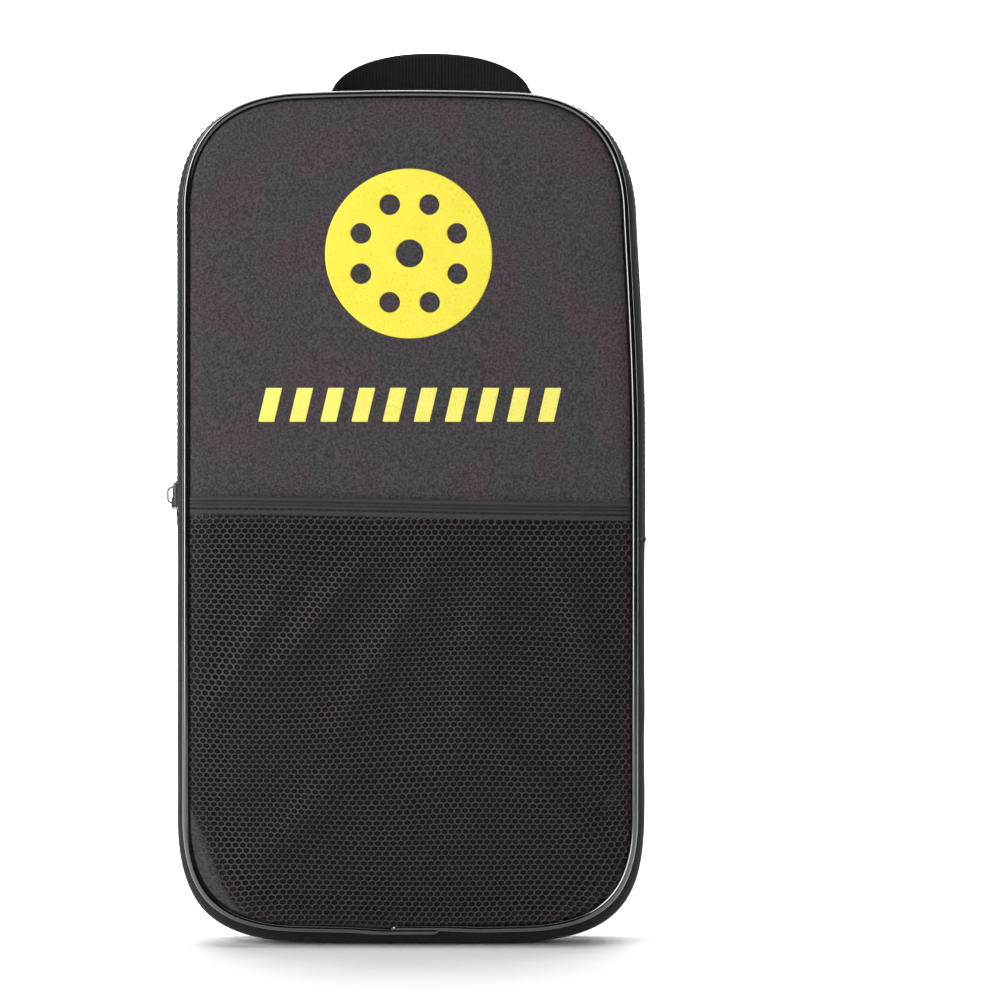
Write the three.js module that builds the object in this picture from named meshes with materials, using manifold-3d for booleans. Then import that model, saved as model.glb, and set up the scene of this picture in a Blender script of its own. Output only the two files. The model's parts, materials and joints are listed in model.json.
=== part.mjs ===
// A soft case for a court paddle: two padded panels joined by a bulging side strip (the gusset), a zip that
// frees the upper half of the front as a flap, a mesh pocket on the lower front and a webbing handle on top.
// Millimetres. X runs across the front, the front faces -Y, Z is up. The origin is at the middle of the base.
import * as THREE from "three";
import { mergeVertices } from "three/addons/utils/BufferGeometryUtils.js";
import Module from "manifold-3d";

const wasm = await Module();
wasm.setup();

// ---- driving dimensions -------------------------------------------------------------------------------

// The seam outline is the rounded rectangle that both pipings follow.
const SEAM_WIDTH = 225;
const SEAM_HEIGHT = 419.3;
const CORNER_RADIUS = 55;
const SEAM_DEPTH = 47; // from the front piping's centre to the back one's
const PIPING_RADIUS = 1.7;

const GAP = 0.3; // left between pieces that lie against each other
const FABRIC = 0.8;
const PANEL_FOAM = 3.2;
const GUSSET_FOAM = 2.0;
const LINING = 0.5;
const FACE_PROUD = 1.1; // how far a panel's outer face stands past the piping's centre
const SEAM_BINDING_WIDTH = 2.5;

const GUSSET_BULGE = 5.8; // how far the gusset stands out past the piping's centre
const GUSSET_SAG = 3.2; // how far the gusset hangs lower than the seams, at the top and the bottom
const GUSSET_FLAT = 24; // width of its flat middle
const SHOULDER_SHARE = 0.75;

const FOLD_HEIGHT = 238; // where the flap folds down
const FOLD_PROUD = 1.8; // the fold's axis in front of the front piping
const ZIP_LEFT_END = 217;
const ZIP_RIGHT_END = 204;

const TEETH_GAP = 1.6; // between the two rows, for the slider's post
const TEETH_WIDTH = 2.2;
const TEETH_THICKNESS = 2.0;
const TEETH_PROUD = 1.2;
const TAPE_THICKNESS = 0.5;
const TAPE_WIDTH = 13;
const ZIP_STOP_LENGTH = 5;

const RUNNING_GAP = 0.3; // round the slider
const SLIDER_HEIGHT = 227; // its middle, when the zip is shut
const SLIDER_LENGTH = 14;
const SLIDER_FLANGE = 0.6;
const SLIDER_PLATE = 1.1;
const SLIDER_POST = 0.8;
const SLIDER_POST_LENGTH = 3;
const CROWN_LENGTH = 8.4;
const CROWN_WIDTH = 1.8;
const CROWN_WINDOW = 2.6;
const CROWN_THICKNESS = 0.9;

const PULL_THICKNESS = 0.8;
const PULL_LENGTH = 25; // from its pivot
const PULL_WIDTH = 7;
const PULL_EYE_WALL = 1.2;
const PULL_EYE_CLEARANCE = 0.4; // round the crown's leg
const PULL_EYE_LENGTH = 4.3;

const POCKET_TOP = 216;
const POCKET_STANDOFF = 5.6; // room between the mesh and the front fabric
const POCKET_SHOULDER = 16; // width of the slope along its sewn edges
const MESH_THICKNESS = 0.7;
const BINDING_HEIGHT = 9;
const BINDING_THICKNESS = 1.3;

const PRINT_THICKNESS = 0.25;
const PRINT_TOP_SHARE = 0.43; // of the flap's free height, over the disc
const PRINT_BOTTOM_SHARE = 0.29; // and under the bars
const DISC_RADIUS = 42.5;
const DISC_CENTRE_HOLE = 7;
const DISC_RING_RADIUS = 26.5;
const DISC_RING_HOLE = 5.2;
const DISC_RING_COUNT = 8;
const BAR_COUNT = 10;
const BAR_ROW_WIDTH = 152;
const BAR_WIDTH = 8;
const BAR_TALL = 17;
const BAR_SLANT = 4;

const HANDLE_X = 9.5; // its middle
const HANDLE_INSET = 5.5; // its sewn ends in front of the back piping's centre
const WEBBING_WIDTH = 25.4;
const WEBBING_THICKNESS = 1.8;
const HANDLE_SPAN = 103.4; // across the outer edge, at the seam
const HANDLE_RISE = 22.5; // of the outer edge over its ends
const HANDLE_LEAN = 15; // of the inner edge behind its ends
const HANDLE_CLEARANCE = 1.3; // of the sewn ends over the gusset

const ARC_STEPS = 8; // per corner
const PIPING_SIDES = 10;
const HANDLE_STEPS = 20;

// ---- sizes that follow --------------------------------------------------------------------------------

const HALF_WIDTH = SEAM_WIDTH / 2;
const SEAM_BOTTOM = GUSSET_BULGE + GUSSET_SAG;
const SEAM_TOP = SEAM_BOTTOM + SEAM_HEIGHT;
const PIPING_Y = SEAM_DEPTH / 2;
const FACE_Y = PIPING_Y + FACE_PROUD;
const FOAM_Y = FACE_Y - FABRIC - GAP;
const LINING_Y = FOAM_Y - PANEL_FOAM - GAP;
const INNER_Y = LINING_Y - LINING;
const GUSSET_EDGE = PIPING_Y - PIPING_RADIUS - GAP;
const PANEL_INSET = PIPING_RADIUS + GAP;
const GUSSET_FOAM_DEPTH = FABRIC + GAP;
const GUSSET_LINING_DEPTH = GUSSET_FOAM_DEPTH + GUSSET_FOAM + GAP;
const TEETH_INNER = TEETH_GAP / 2;
const TEETH_OUTER = TEETH_INNER + TEETH_WIDTH;
const ZIP_EDGE = TEETH_OUTER + RUNNING_GAP + SLIDER_FLANGE + RUNNING_GAP; // where the gusset's strips start
const TAPE_DEPTH = FABRIC + GAP;
const HANDLE_Y = PIPING_Y - HANDLE_INSET;
const PRINT_FREE_HEIGHT = SEAM_TOP - FOLD_HEIGHT - 2 * DISC_RADIUS - BAR_TALL;
const DISC_HEIGHT = SEAM_TOP - PRINT_TOP_SHARE * PRINT_FREE_HEIGHT - DISC_RADIUS; // its centre
const BAR_ROW_HEIGHT = FOLD_HEIGHT + PRINT_BOTTOM_SHARE * PRINT_FREE_HEIGHT + BAR_TALL / 2; // its middle
const FOLD_Y = -(PIPING_Y + PIPING_RADIUS + FOLD_PROUD);

// ---- geometry helpers ---------------------------------------------------------------------------------

// The share of its full bulge that the gusset has at depth y: 1 over its flat middle, 0 at the seams, and
// SHOULDER_SHARE half-way down the slope between them.
function bulgeShare(y) {
  const run = (Math.abs(y) - GUSSET_FLAT / 2) / (GUSSET_EDGE - GUSSET_FLAT / 2);
  const down = THREE.MathUtils.clamp(run, 0, 1);
  return down < 0.5
    ? THREE.MathUtils.lerp(1, SHOULDER_SHARE, 2 * down)
    : THREE.MathUtils.lerp(SHOULDER_SHARE, 0, 2 * down - 1);
}

// The padding stops short of the seam binding, which the sag lowers a little along the top.
const PADDING_INSET =
  FABRIC + GAP + SEAM_BINDING_WIDTH + GAP + GUSSET_SAG * bulgeShare(INNER_Y + GAP);

// A station is a point of the seam outline's core rectangle and the way out from it.
const station = (x, z, degrees) => {
  const angle = THREE.MathUtils.degToRad(degrees);
  return { x, z, outX: Math.cos(angle), outZ: Math.sin(angle) };
};

const CORE_X = HALF_WIDTH - CORNER_RADIUS;
const sideStation = (side, z) => station(side * CORE_X, z, side > 0 ? 0 : 180);

function corner(side, z, fromDegrees, toDegrees) {
  const steps = Array.from({ length: ARC_STEPS + 1 }, (_, i) => i / ARC_STEPS);
  return steps.map((t) => station(side * CORE_X, z, THREE.MathUtils.lerp(fromDegrees, toDegrees, t)));
}

const bottomCorners = () => [
  ...corner(-1, SEAM_BOTTOM + CORNER_RADIUS, 180, 270),
  ...corner(1, SEAM_BOTTOM + CORNER_RADIUS, 270, 360),
];
const topCorners = () => [
  ...corner(-1, SEAM_TOP - CORNER_RADIUS, 180, 90),
  ...corner(1, SEAM_TOP - CORNER_RADIUS, 90, 0),
];

const underneath = (leftZ, rightZ) => [sideStation(-1, leftZ), ...bottomCorners(), sideStation(1, rightZ)];
const overTheTop = (leftZ, rightZ) => [sideStation(-1, leftZ), ...topCorners(), sideStation(1, rightZ)];
const allRound = () => [...bottomCorners(), ...topCorners().reverse()];

// Turns the faces of a closed geometry outwards.
function facingOut(geometry) {
  const p = geometry.getAttribute("position");
  const index = geometry.index.array;
  const corners = [new THREE.Vector3(), new THREE.Vector3(), new THREE.Vector3()];
  let volume = 0;
  for (let i = 0; i < index.length; i += 3) {
    corners.forEach((v, k) => v.fromBufferAttribute(p, index[i + k]));
    volume += corners[0].dot(corners[1].clone().cross(corners[2]));
  }
  if (volume < 0) {
    for (let i = 0; i < index.length; i += 3) {
      [index[i + 1], index[i + 2]] = [index[i + 2], index[i + 1]];
    }
  }
  return geometry;
}

// Joins rings of points, each with as many points as the last, into one closed body.
function loft(rings, closed = false) {
  const sides = rings[0].length;
  const index = [];
  const spans = closed ? rings.length : rings.length - 1;
  for (let r = 0; r < spans; r++) {
    for (let s = 0; s < sides; s++) {
      const a = r * sides + s;
      const b = r * sides + ((s + 1) % sides);
      const c = ((r + 1) % rings.length) * sides + ((s + 1) % sides);
      const d = ((r + 1) % rings.length) * sides + s;
      index.push(a, b, c, a, c, d);
    }
  }
  if (!closed) {
    const flat = rings[0].flat ?? rings[0];
    const cap = THREE.ShapeUtils.triangulateShape(flat, []);
    const last = (rings.length - 1) * sides;
    const sameWay = THREE.ShapeUtils.isClockWise(flat) ? 1 : -1;
    cap.forEach(([a, b, c]) => {
      index.push(...(sameWay > 0 ? [a, b, c] : [a, c, b]));
      index.push(...(sameWay > 0 ? [last + a, last + c, last + b] : [last + a, last + b, last + c]));
    });
  }
  const geometry = new THREE.BufferGeometry().setFromPoints(rings.flat());
  geometry.setIndex(index);
  return facingOut(geometry);
}

// Carries a section of [outward offset, depth] pairs round the seam outline.
function sweep(section, stations, closed = false) {
  const rings = stations.map((s) =>
    section.map(([offset, y]) => {
      const reach = CORNER_RADIUS + offset;
      const sag = GUSSET_SAG * bulgeShare(y) * Math.abs(s.outZ);
      return new THREE.Vector3(s.x + s.outX * reach, y, s.z + s.outZ * reach - sag);
    }),
  );
  rings[0].flat = section.map(([offset, y]) => new THREE.Vector2(offset, y));
  return loft(rings, closed);
}

// The section of a layer of the gusset from depth yFrom to yTo, between two depths below its outer face.
function gussetLayer(yFrom, yTo, top, under) {
  const low = Math.min(yFrom, yTo);
  const high = Math.max(yFrom, yTo);
  const slopeMiddle = (GUSSET_FLAT / 2 + GUSSET_EDGE) / 2;
  const bends = [-slopeMiddle, -GUSSET_FLAT / 2, GUSSET_FLAT / 2, slopeMiddle];
  const depths = [low, ...bends.filter((y) => y > low && y < high), high];
  const at = (y, under) => [GUSSET_BULGE * bulgeShare(y) - under, y];
  return [...depths.map((y) => at(y, top)), ...depths.reverse().map((y) => at(y, under))];
}

const rectangle = (x0, y0, x1, y1) => [[x0, y0], [x1, y0], [x1, y1], [x0, y1]];

const pipingSection = (y) =>
  Array.from({ length: PIPING_SIDES }, (_, i) => {
    const angle = (2 * Math.PI * (i + 0.5)) / PIPING_SIDES;
    return [PIPING_RADIUS * Math.cos(angle), y + PIPING_RADIUS * Math.sin(angle)];
  });

// The seam outline drawn in by an inset, as a shape in the plane of the panels, cut off below and above.
function panelShape(inset, fromZ = -Infinity, toZ = Infinity) {
  const x = HALF_WIDTH - inset;
  const r = CORNER_RADIUS - inset;
  const shape = new THREE.Shape();
  if (fromZ === -Infinity) {
    shape.absarc(-CORE_X, SEAM_BOTTOM + CORNER_RADIUS, r, Math.PI, 1.5 * Math.PI);
    shape.absarc(CORE_X, SEAM_BOTTOM + CORNER_RADIUS, r, 1.5 * Math.PI, 2 * Math.PI);
  } else {
    shape.moveTo(-x, fromZ);
    shape.lineTo(x, fromZ);
  }
  if (toZ === Infinity) {
    shape.absarc(CORE_X, SEAM_TOP - CORNER_RADIUS, r, 0, 0.5 * Math.PI);
    shape.absarc(-CORE_X, SEAM_TOP - CORNER_RADIUS, r, 0.5 * Math.PI, Math.PI);
  } else {
    shape.lineTo(x, toZ);
    shape.lineTo(-x, toZ);
  }
  shape.closePath();
  return shape;
}

// Extrudes a shape drawn in the X and Z of the case into a slab whose front face is at y = 0.
function slab(shape, thickness, curveSegments = ARC_STEPS) {
  const geometry = new THREE.ExtrudeGeometry(shape, { depth: thickness, bevelEnabled: false, curveSegments });
  geometry.rotateX(Math.PI / 2);
  return geometry.translate(0, thickness, 0);
}

// A closed geometry as a manifold-3d solid, and back.
function toSolid(geometry) {
  const bare = geometry.clone();
  bare.deleteAttribute("normal");
  bare.deleteAttribute("uv");
  const merged = mergeVertices(bare, 1e-4);
  return new wasm.Manifold(
    new wasm.Mesh({
      numProp: 3,
      vertProperties: merged.getAttribute("position").array,
      triVerts: new Uint32Array(merged.index.array),
    }),
  );
}

function toGeometry(solid) {
  const mesh = solid.getMesh();
  const geometry = new THREE.BufferGeometry();
  geometry.setAttribute("position", new THREE.BufferAttribute(new Float32Array(mesh.vertProperties), 3));
  geometry.setIndex(new THREE.BufferAttribute(new Uint32Array(mesh.triVerts), 1));
  return geometry;
}

const boxBetween = (low, high) =>
  new THREE.BoxGeometry(...high.map((v, i) => v - low[i])).translate(
    ...high.map((v, i) => (v + low[i]) / 2),
  );

// ---- materials ----------------------------------------------------------------------------------------

const material = (color, roughness, metalness = 0) =>
  new THREE.MeshStandardMaterial({ color, roughness, metalness });

const outerFabric = material(0x3a3539, 0.85);
const foam = material(0x9a9a98, 0.95);
const lining = material(0x26262a, 0.8);
const glossyPiping = material(0x0c0c0e, 0.22);
const netting = material(0x2a2228, 0.8);
const ribbon = material(0x242024, 0.75);
const webbing = material(0x121013, 0.8);
const coil = material(0x141416, 0.45);
const blackMetal = material(0x1a1a1c, 0.35, 0.9);
const yellowPrint = material(0xe6dc3c, 0.6);

function named(name, geometry, finish) {
  const mesh = new THREE.Mesh(geometry, finish);
  mesh.name = name;
  return mesh;
}

// ---- the padded panels --------------------------------------------------------------------------------

// Outer fabric, foam and lining of one panel. The face is at y = face, and inwards is +1 or -1.
function paddedPanel(prefix, side, fromZ, toZ) {
  const layers = [
    ["fabric", FABRIC, FACE_Y, PANEL_INSET, outerFabric],
    ["foam", PANEL_FOAM, FOAM_Y, PADDING_INSET, foam],
    ["lining", LINING, LINING_Y, PADDING_INSET, lining],
  ];
  return layers.map(([layer, thickness, outerY, inset, finish]) => {
    const mesh = named(prefix + "_" + layer, slab(panelShape(inset, fromZ, toZ), thickness), finish);
    mesh.position.y = side > 0 ? outerY - thickness : -outerY;
    return mesh;
  });
}

// The tape that binds the raw edges inside a seam.
function bindingSection(side) {
  const outer = -(FABRIC + GAP);
  return rectangle(outer - SEAM_BINDING_WIDTH, side * (INNER_Y + GAP), outer, side * (GUSSET_EDGE - GAP));
}

// ---- the zip ------------------------------------------------------------------------------------------

// One side of the zip along a run of stations: the gusset's strip, the tape under it and the row of teeth.
function zipSide(names, side, stations) {
  const strip = gussetLayer(side * ZIP_EDGE, side * GUSSET_EDGE, 0, FABRIC);
  const tapeEnd = TEETH_INNER + TAPE_WIDTH;
  const tape = gussetLayer(side * TEETH_INNER, side * tapeEnd, TAPE_DEPTH, TAPE_DEPTH + TAPE_THICKNESS);
  const teeth = gussetLayer(
    side * TEETH_INNER,
    side * TEETH_OUTER,
    -TEETH_PROUD,
    TEETH_THICKNESS - TEETH_PROUD,
  );
  return [
    named(names.strip, sweep(strip, stations), outerFabric),
    named(names.tape, sweep(tape, stations), ribbon),
    named(names.teeth, sweep(teeth, stations), coil),
  ];
}

// The sewn patch over an end of the zip.
function zipStop(name, side, topZ) {
  const half = ZIP_EDGE + TEETH_WIDTH;
  const patch = gussetLayer(-half, half, -GAP - FABRIC, -GAP);
  return named(
    name,
    sweep(patch, [sideStation(side, topZ - ZIP_STOP_LENGTH), sideStation(side, topZ)]),
    ribbon,
  );
}

// ---- the mesh pocket ----------------------------------------------------------------------------------

// A low mound over the lower front, standing off the fabric by a height and sloping down to its sewn edges.
function pocketMound(standoff, inset) {
  const overshoot = POCKET_TOP + BINDING_HEIGHT + 2 * POCKET_SHOULDER;
  const shoulder = POCKET_SHOULDER - inset;
  const geometry = new THREE.ExtrudeGeometry(panelShape(PANEL_INSET + inset, -Infinity, overshoot), {
    depth: FABRIC,
    bevelThickness: standoff,
    bevelSize: shoulder,
    bevelOffset: -shoulder,
    bevelSegments: 3,
    curveSegments: ARC_STEPS,
  });
  geometry.rotateX(Math.PI / 2);
  return toSolid(geometry.translate(0, FABRIC - FACE_Y - GAP, 0));
}

// The part of a shell between two mounds that lies in front of the fabric, between two heights.
function pocketBand(outer, inner, fromZ, toZ) {
  const reach = SEAM_WIDTH;
  const keep = boxBetween([-reach, -FACE_Y - 2 * POCKET_STANDOFF, fromZ], [reach, -FACE_Y - GAP, toZ]);
  return toGeometry(outer.subtract(inner).intersect(toSolid(keep)));
}

function pocket() {
  const meshOuter = pocketMound(POCKET_STANDOFF, 0);
  const inner = pocketMound(POCKET_STANDOFF - MESH_THICKNESS, MESH_THICKNESS);
  const bindingOuter = pocketMound(POCKET_STANDOFF - MESH_THICKNESS + BINDING_THICKNESS, 0);
  const bindingFrom = POCKET_TOP + GAP;
  return [
    named("mesh_pocket", pocketBand(meshOuter, inner, 0, POCKET_TOP), netting),
    named(
      "pocket_binding",
      pocketBand(bindingOuter, inner, bindingFrom, bindingFrom + BINDING_HEIGHT),
      ribbon,
    ),
  ];
}

// ---- the printed marks --------------------------------------------------------------------------------

// A plain disc with a hole in its middle and a ring of equal holes round it.
function printedDisc() {
  const shape = new THREE.Shape().absarc(0, 0, DISC_RADIUS, 0, 2 * Math.PI);
  shape.holes.push(new THREE.Path().absarc(0, 0, DISC_CENTRE_HOLE, 0, 2 * Math.PI, true));
  for (let i = 0; i < DISC_RING_COUNT; i++) {
    const angle = (2 * Math.PI * (i + 0.5)) / DISC_RING_COUNT;
    const x = DISC_RING_RADIUS * Math.cos(angle);
    const z = DISC_RING_RADIUS * Math.sin(angle);
    shape.holes.push(new THREE.Path().absarc(x, z, DISC_RING_HOLE, 0, 2 * Math.PI, true));
  }
  const mesh = named("print_disc", slab(shape, PRINT_THICKNESS), yellowPrint);
  mesh.position.set(0, -FACE_Y - GAP - PRINT_THICKNESS, DISC_HEIGHT);
  return mesh;
}

// A row of equal slanted bars.
function printedBars() {
  const pitch = (BAR_ROW_WIDTH - BAR_WIDTH - BAR_SLANT) / (BAR_COUNT - 1);
  return Array.from({ length: BAR_COUNT }, (_, i) => {
    const shape = new THREE.Shape([
      new THREE.Vector2(-(BAR_WIDTH + BAR_SLANT) / 2, -BAR_TALL / 2),
      new THREE.Vector2((BAR_WIDTH - BAR_SLANT) / 2, -BAR_TALL / 2),
      new THREE.Vector2((BAR_WIDTH + BAR_SLANT) / 2, BAR_TALL / 2),
      new THREE.Vector2(-(BAR_WIDTH - BAR_SLANT) / 2, BAR_TALL / 2),
    ]);
    const mesh = named("print_bar_" + (i + 1), slab(shape, PRINT_THICKNESS), yellowPrint);
    const x = (i - (BAR_COUNT - 1) / 2) * pitch;
    mesh.position.set(x, -FACE_Y - GAP - PRINT_THICKNESS, BAR_ROW_HEIGHT);
    return mesh;
  });
}

// ---- the slider and its pull --------------------------------------------------------------------------

// Both are drawn with -X as the way out from the gusset's face and z = 0 at the slider's middle.
const SLIDER_UNDER = TEETH_PROUD + RUNNING_GAP; // underside of its outer plate
const SLIDER_TOP = SLIDER_UNDER + SLIDER_PLATE;
const PULL_OUT = SLIDER_TOP + RUNNING_GAP + PULL_THICKNESS / 2;

function sliderBody() {
  const halfWidth = TEETH_OUTER + RUNNING_GAP + SLIDER_FLANGE;
  const half = SLIDER_LENGTH / 2;
  const under = -(TAPE_DEPTH + TAPE_THICKNESS + RUNNING_GAP);
  const crownHalf = CROWN_LENGTH / 2;
  const crownTop = SLIDER_TOP + CROWN_WINDOW + CROWN_THICKNESS;
  const leg = CROWN_THICKNESS;
  const pieces = [
    boxBetween([-SLIDER_TOP, -halfWidth, -half], [-SLIDER_UNDER, halfWidth, half]),
    boxBetween([-under, -halfWidth, -half], [-under + SLIDER_PLATE, halfWidth, half]),
    boxBetween(
      [-SLIDER_TOP + 0.5 * SLIDER_PLATE, -SLIDER_POST / 2, -half],
      [-under + 0.5 * SLIDER_PLATE, SLIDER_POST / 2, -half + SLIDER_POST_LENGTH],
    ),
    ...[-1, 1].map((side) =>
      boxBetween(
        [-SLIDER_TOP, Math.min(side * halfWidth, side * (halfWidth - SLIDER_FLANGE)), -half],
        [FABRIC / 2, Math.max(side * halfWidth, side * (halfWidth - SLIDER_FLANGE)), half],
      ),
    ),
    boxBetween([-crownTop, -CROWN_WIDTH / 2, -crownHalf], [-crownTop + leg, CROWN_WIDTH / 2, crownHalf]),
    ...[-1, 1].map((end) =>
      boxBetween(
        [-crownTop, -CROWN_WIDTH / 2, end * crownHalf - (end > 0 ? leg : 0)],
        [-SLIDER_UNDER, CROWN_WIDTH / 2, end * crownHalf + (end > 0 ? 0 : leg)],
      ),
    ),
  ];
  const whole = pieces.map(toSolid).reduce((sum, piece) => sum.add(piece));
  return named("slider_body", toGeometry(whole), blackMetal);
}

// A flat tab that hangs by its eye from the crown's lower leg. Its pivot is that leg, and it points down.
function pullTab() {
  const eye = Math.hypot(CROWN_WIDTH, CROWN_THICKNESS) / 2 + PULL_EYE_CLEARANCE;
  const eyeEnd = eye - PULL_EYE_LENGTH;
  const neck = eye + PULL_EYE_WALL;
  const outline = [
    [neck, neck],
    [neck, eyeEnd - PULL_EYE_WALL],
    [PULL_WIDTH / 2, eyeEnd - 2 * PULL_EYE_WALL],
    [PULL_WIDTH / 2, -PULL_LENGTH + PULL_EYE_WALL],
    [PULL_WIDTH / 2 - PULL_EYE_WALL, -PULL_LENGTH],
  ];
  const mirrored = outline.map(([x, y]) => [-x, y]).reverse();
  const shape = new THREE.Shape([...outline, ...mirrored].map(([x, y]) => new THREE.Vector2(x, y)));
  const hole = (x0, y0, x1, y1) =>
    new THREE.Path(rectangle(x0, y0, x1, y1).map(([x, y]) => new THREE.Vector2(x, y)));
  shape.holes.push(hole(-eye, eyeEnd, eye, eye));
  shape.holes.push(hole(-eye, -PULL_LENGTH + 2 * PULL_EYE_WALL, eye, eyeEnd - 3 * PULL_EYE_WALL));
  const geometry = slab(shape, PULL_THICKNESS);
  geometry.translate(0, -PULL_THICKNESS / 2, 0).rotateZ(Math.PI / 2);
  return named("pull_tab", geometry, blackMetal);
}

// ---- the handle ---------------------------------------------------------------------------------------

// A band of webbing between two edges. Its ends stand on the gusset beside the back seam, and its middle
// leans back, with the outer edge high over the gusset and the inner edge low behind the case.
function handleBand() {
  const outerHalf = HANDLE_SPAN / 2;
  const innerHalf = outerHalf - WEBBING_WIDTH;
  const edges = (t) => {
    const angle = Math.PI * t;
    const arch = Math.sin(angle);
    const across = -Math.cos(angle);
    const swell = Math.sqrt(1 - Math.abs(across) ** 2.2);
    const lean = Math.sqrt(WEBBING_WIDTH ** 2 - HANDLE_RISE ** 2);
    return [
      new THREE.Vector3(across * outerHalf, (HANDLE_LEAN - lean) * arch, HANDLE_RISE * swell),
      new THREE.Vector3(across * innerHalf, HANDLE_LEAN * arch, 0.7 * arch),
    ];
  };
  const rings = Array.from({ length: HANDLE_STEPS + 1 }, (_, i) => {
    const t = i / HANDLE_STEPS;
    const [outer, inner] = edges(t);
    const middle = (at) => edges(at)[0].add(edges(at)[1]).multiplyScalar(0.5);
    const along = middle(Math.min(1, t + 0.01)).sub(middle(Math.max(0, t - 0.01)));
    const face = outer.clone().sub(inner).cross(along).normalize();
    const half = face.multiplyScalar(WEBBING_THICKNESS / 2);
    return [
      outer.clone().add(half),
      outer.clone().sub(half),
      inner.clone().sub(half),
      inner.clone().add(half),
    ];
  });
  rings[0].flat = rectangle(0, 0, WEBBING_THICKNESS, WEBBING_WIDTH).map(([x, y]) => new THREE.Vector2(x, y));
  return named("handle_webbing", loft(rings), webbing);
}

// ---- assembly -----------------------------------------------------------------------------------------

const foldBelow = FOLD_HEIGHT - GAP;
const foldAbove = FOLD_HEIGHT + GAP;

const caseBody = new THREE.Group();
caseBody.add(
  ...paddedPanel("back", 1),
  ...paddedPanel("lower_front", -1, -Infinity, foldBelow),
  named("back_piping", sweep(pipingSection(PIPING_Y), allRound(), true), glossyPiping),
  named(
    "lower_front_piping",
    sweep(pipingSection(-PIPING_Y), underneath(foldBelow, foldBelow)),
    glossyPiping,
  ),
  named("back_seam_binding", sweep(bindingSection(1), allRound(), true), ribbon),
  named(
    "lower_front_seam_binding",
    sweep(bindingSection(-1), underneath(foldBelow, foldBelow)),
    ribbon,
  ),
);

const gussetRun = underneath(ZIP_LEFT_END - GAP, ZIP_RIGHT_END - GAP);
const gussetLayers = [
  ["fabric", GUSSET_EDGE, 0, FABRIC, outerFabric],
  ["foam", INNER_Y - GAP, GUSSET_FOAM_DEPTH, GUSSET_FOAM_DEPTH + GUSSET_FOAM, foam],
  ["lining", INNER_Y - GAP, GUSSET_LINING_DEPTH, GUSSET_LINING_DEPTH + LINING, lining],
];
for (const [layer, edge, top, under, finish] of gussetLayers) {
  const section = gussetLayer(-edge, edge, top, under);
  caseBody.add(named("lower_gusset_" + layer, sweep(section, gussetRun), finish));
}

const rearZip = { strip: "rear_zip_gusset", tape: "rear_zip_tape", teeth: "rear_zip_teeth" };
caseBody.add(
  ...zipSide(rearZip, 1, overTheTop(ZIP_LEFT_END, ZIP_RIGHT_END)),
  zipStop("zip_stop_left", -1, ZIP_LEFT_END),
  zipStop("zip_stop_right", 1, ZIP_RIGHT_END),
  ...pocket(),
);
for (const [end, side, fromZ] of [["left", -1, ZIP_LEFT_END], ["right", 1, ZIP_RIGHT_END]]) {
  const names = {
    strip: "front_gusset_end_" + end,
    tape: "front_tape_end_" + end,
    teeth: "front_teeth_end_" + end,
  };
  caseBody.add(...zipSide(names, -1, [sideStation(side, fromZ), sideStation(side, foldBelow)]));
}

const flapRun = overTheTop(foldAbove, foldAbove);
const flapZip = { strip: "flap_zip_gusset", tape: "flap_zip_tape", teeth: "flap_zip_teeth" };
const flapPieces = new THREE.Group();
flapPieces.position.set(0, -FOLD_Y, -FOLD_HEIGHT);
flapPieces.add(
  ...paddedPanel("flap", -1, foldAbove, Infinity),
  named("flap_piping", sweep(pipingSection(-PIPING_Y), flapRun), glossyPiping),
  named("flap_seam_binding", sweep(bindingSection(-1), flapRun), ribbon),
  ...zipSide(flapZip, -1, flapRun),
  printedDisc(),
  ...printedBars(),
);

// Turning this group about X opens the flap.
const flap = new THREE.Group();
flap.position.set(0, FOLD_Y, FOLD_HEIGHT);
flap.add(flapPieces);

// Turning this group about X swings the pull. At rest it lies back along the gusset.
const pull = new THREE.Group();
pull.position.set(-PULL_OUT, 0, -(CROWN_LENGTH - CROWN_THICKNESS) / 2);
pull.rotation.x = Math.PI / 2;
pull.add(pullTab());

const slider = new THREE.Group();
slider.position.set(-HALF_WIDTH - GUSSET_BULGE, 0, SLIDER_HEIGHT);
slider.add(sliderBody(), pull);

// The height of the gusset's outer face along the top at the handle's depth.
const gussetTop = SEAM_TOP + (GUSSET_BULGE - GUSSET_SAG) * bulgeShare(HANDLE_Y);
const handle = new THREE.Group();
handle.position.set(HANDLE_X, HANDLE_Y, gussetTop + HANDLE_CLEARANCE);
handle.add(handleBand());

const paddleCase = new THREE.Group();
paddleCase.add(caseBody, flap, slider, handle);
export default paddleCase;
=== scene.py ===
"""The looks of a soft, padded paddle case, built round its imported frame.

Metres throughout. X runs across the front, the front faces -Y, Z is up and the base stands at z = 0.
"""

import json
import math

import bmesh
import bpy
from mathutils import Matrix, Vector, noise


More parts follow.
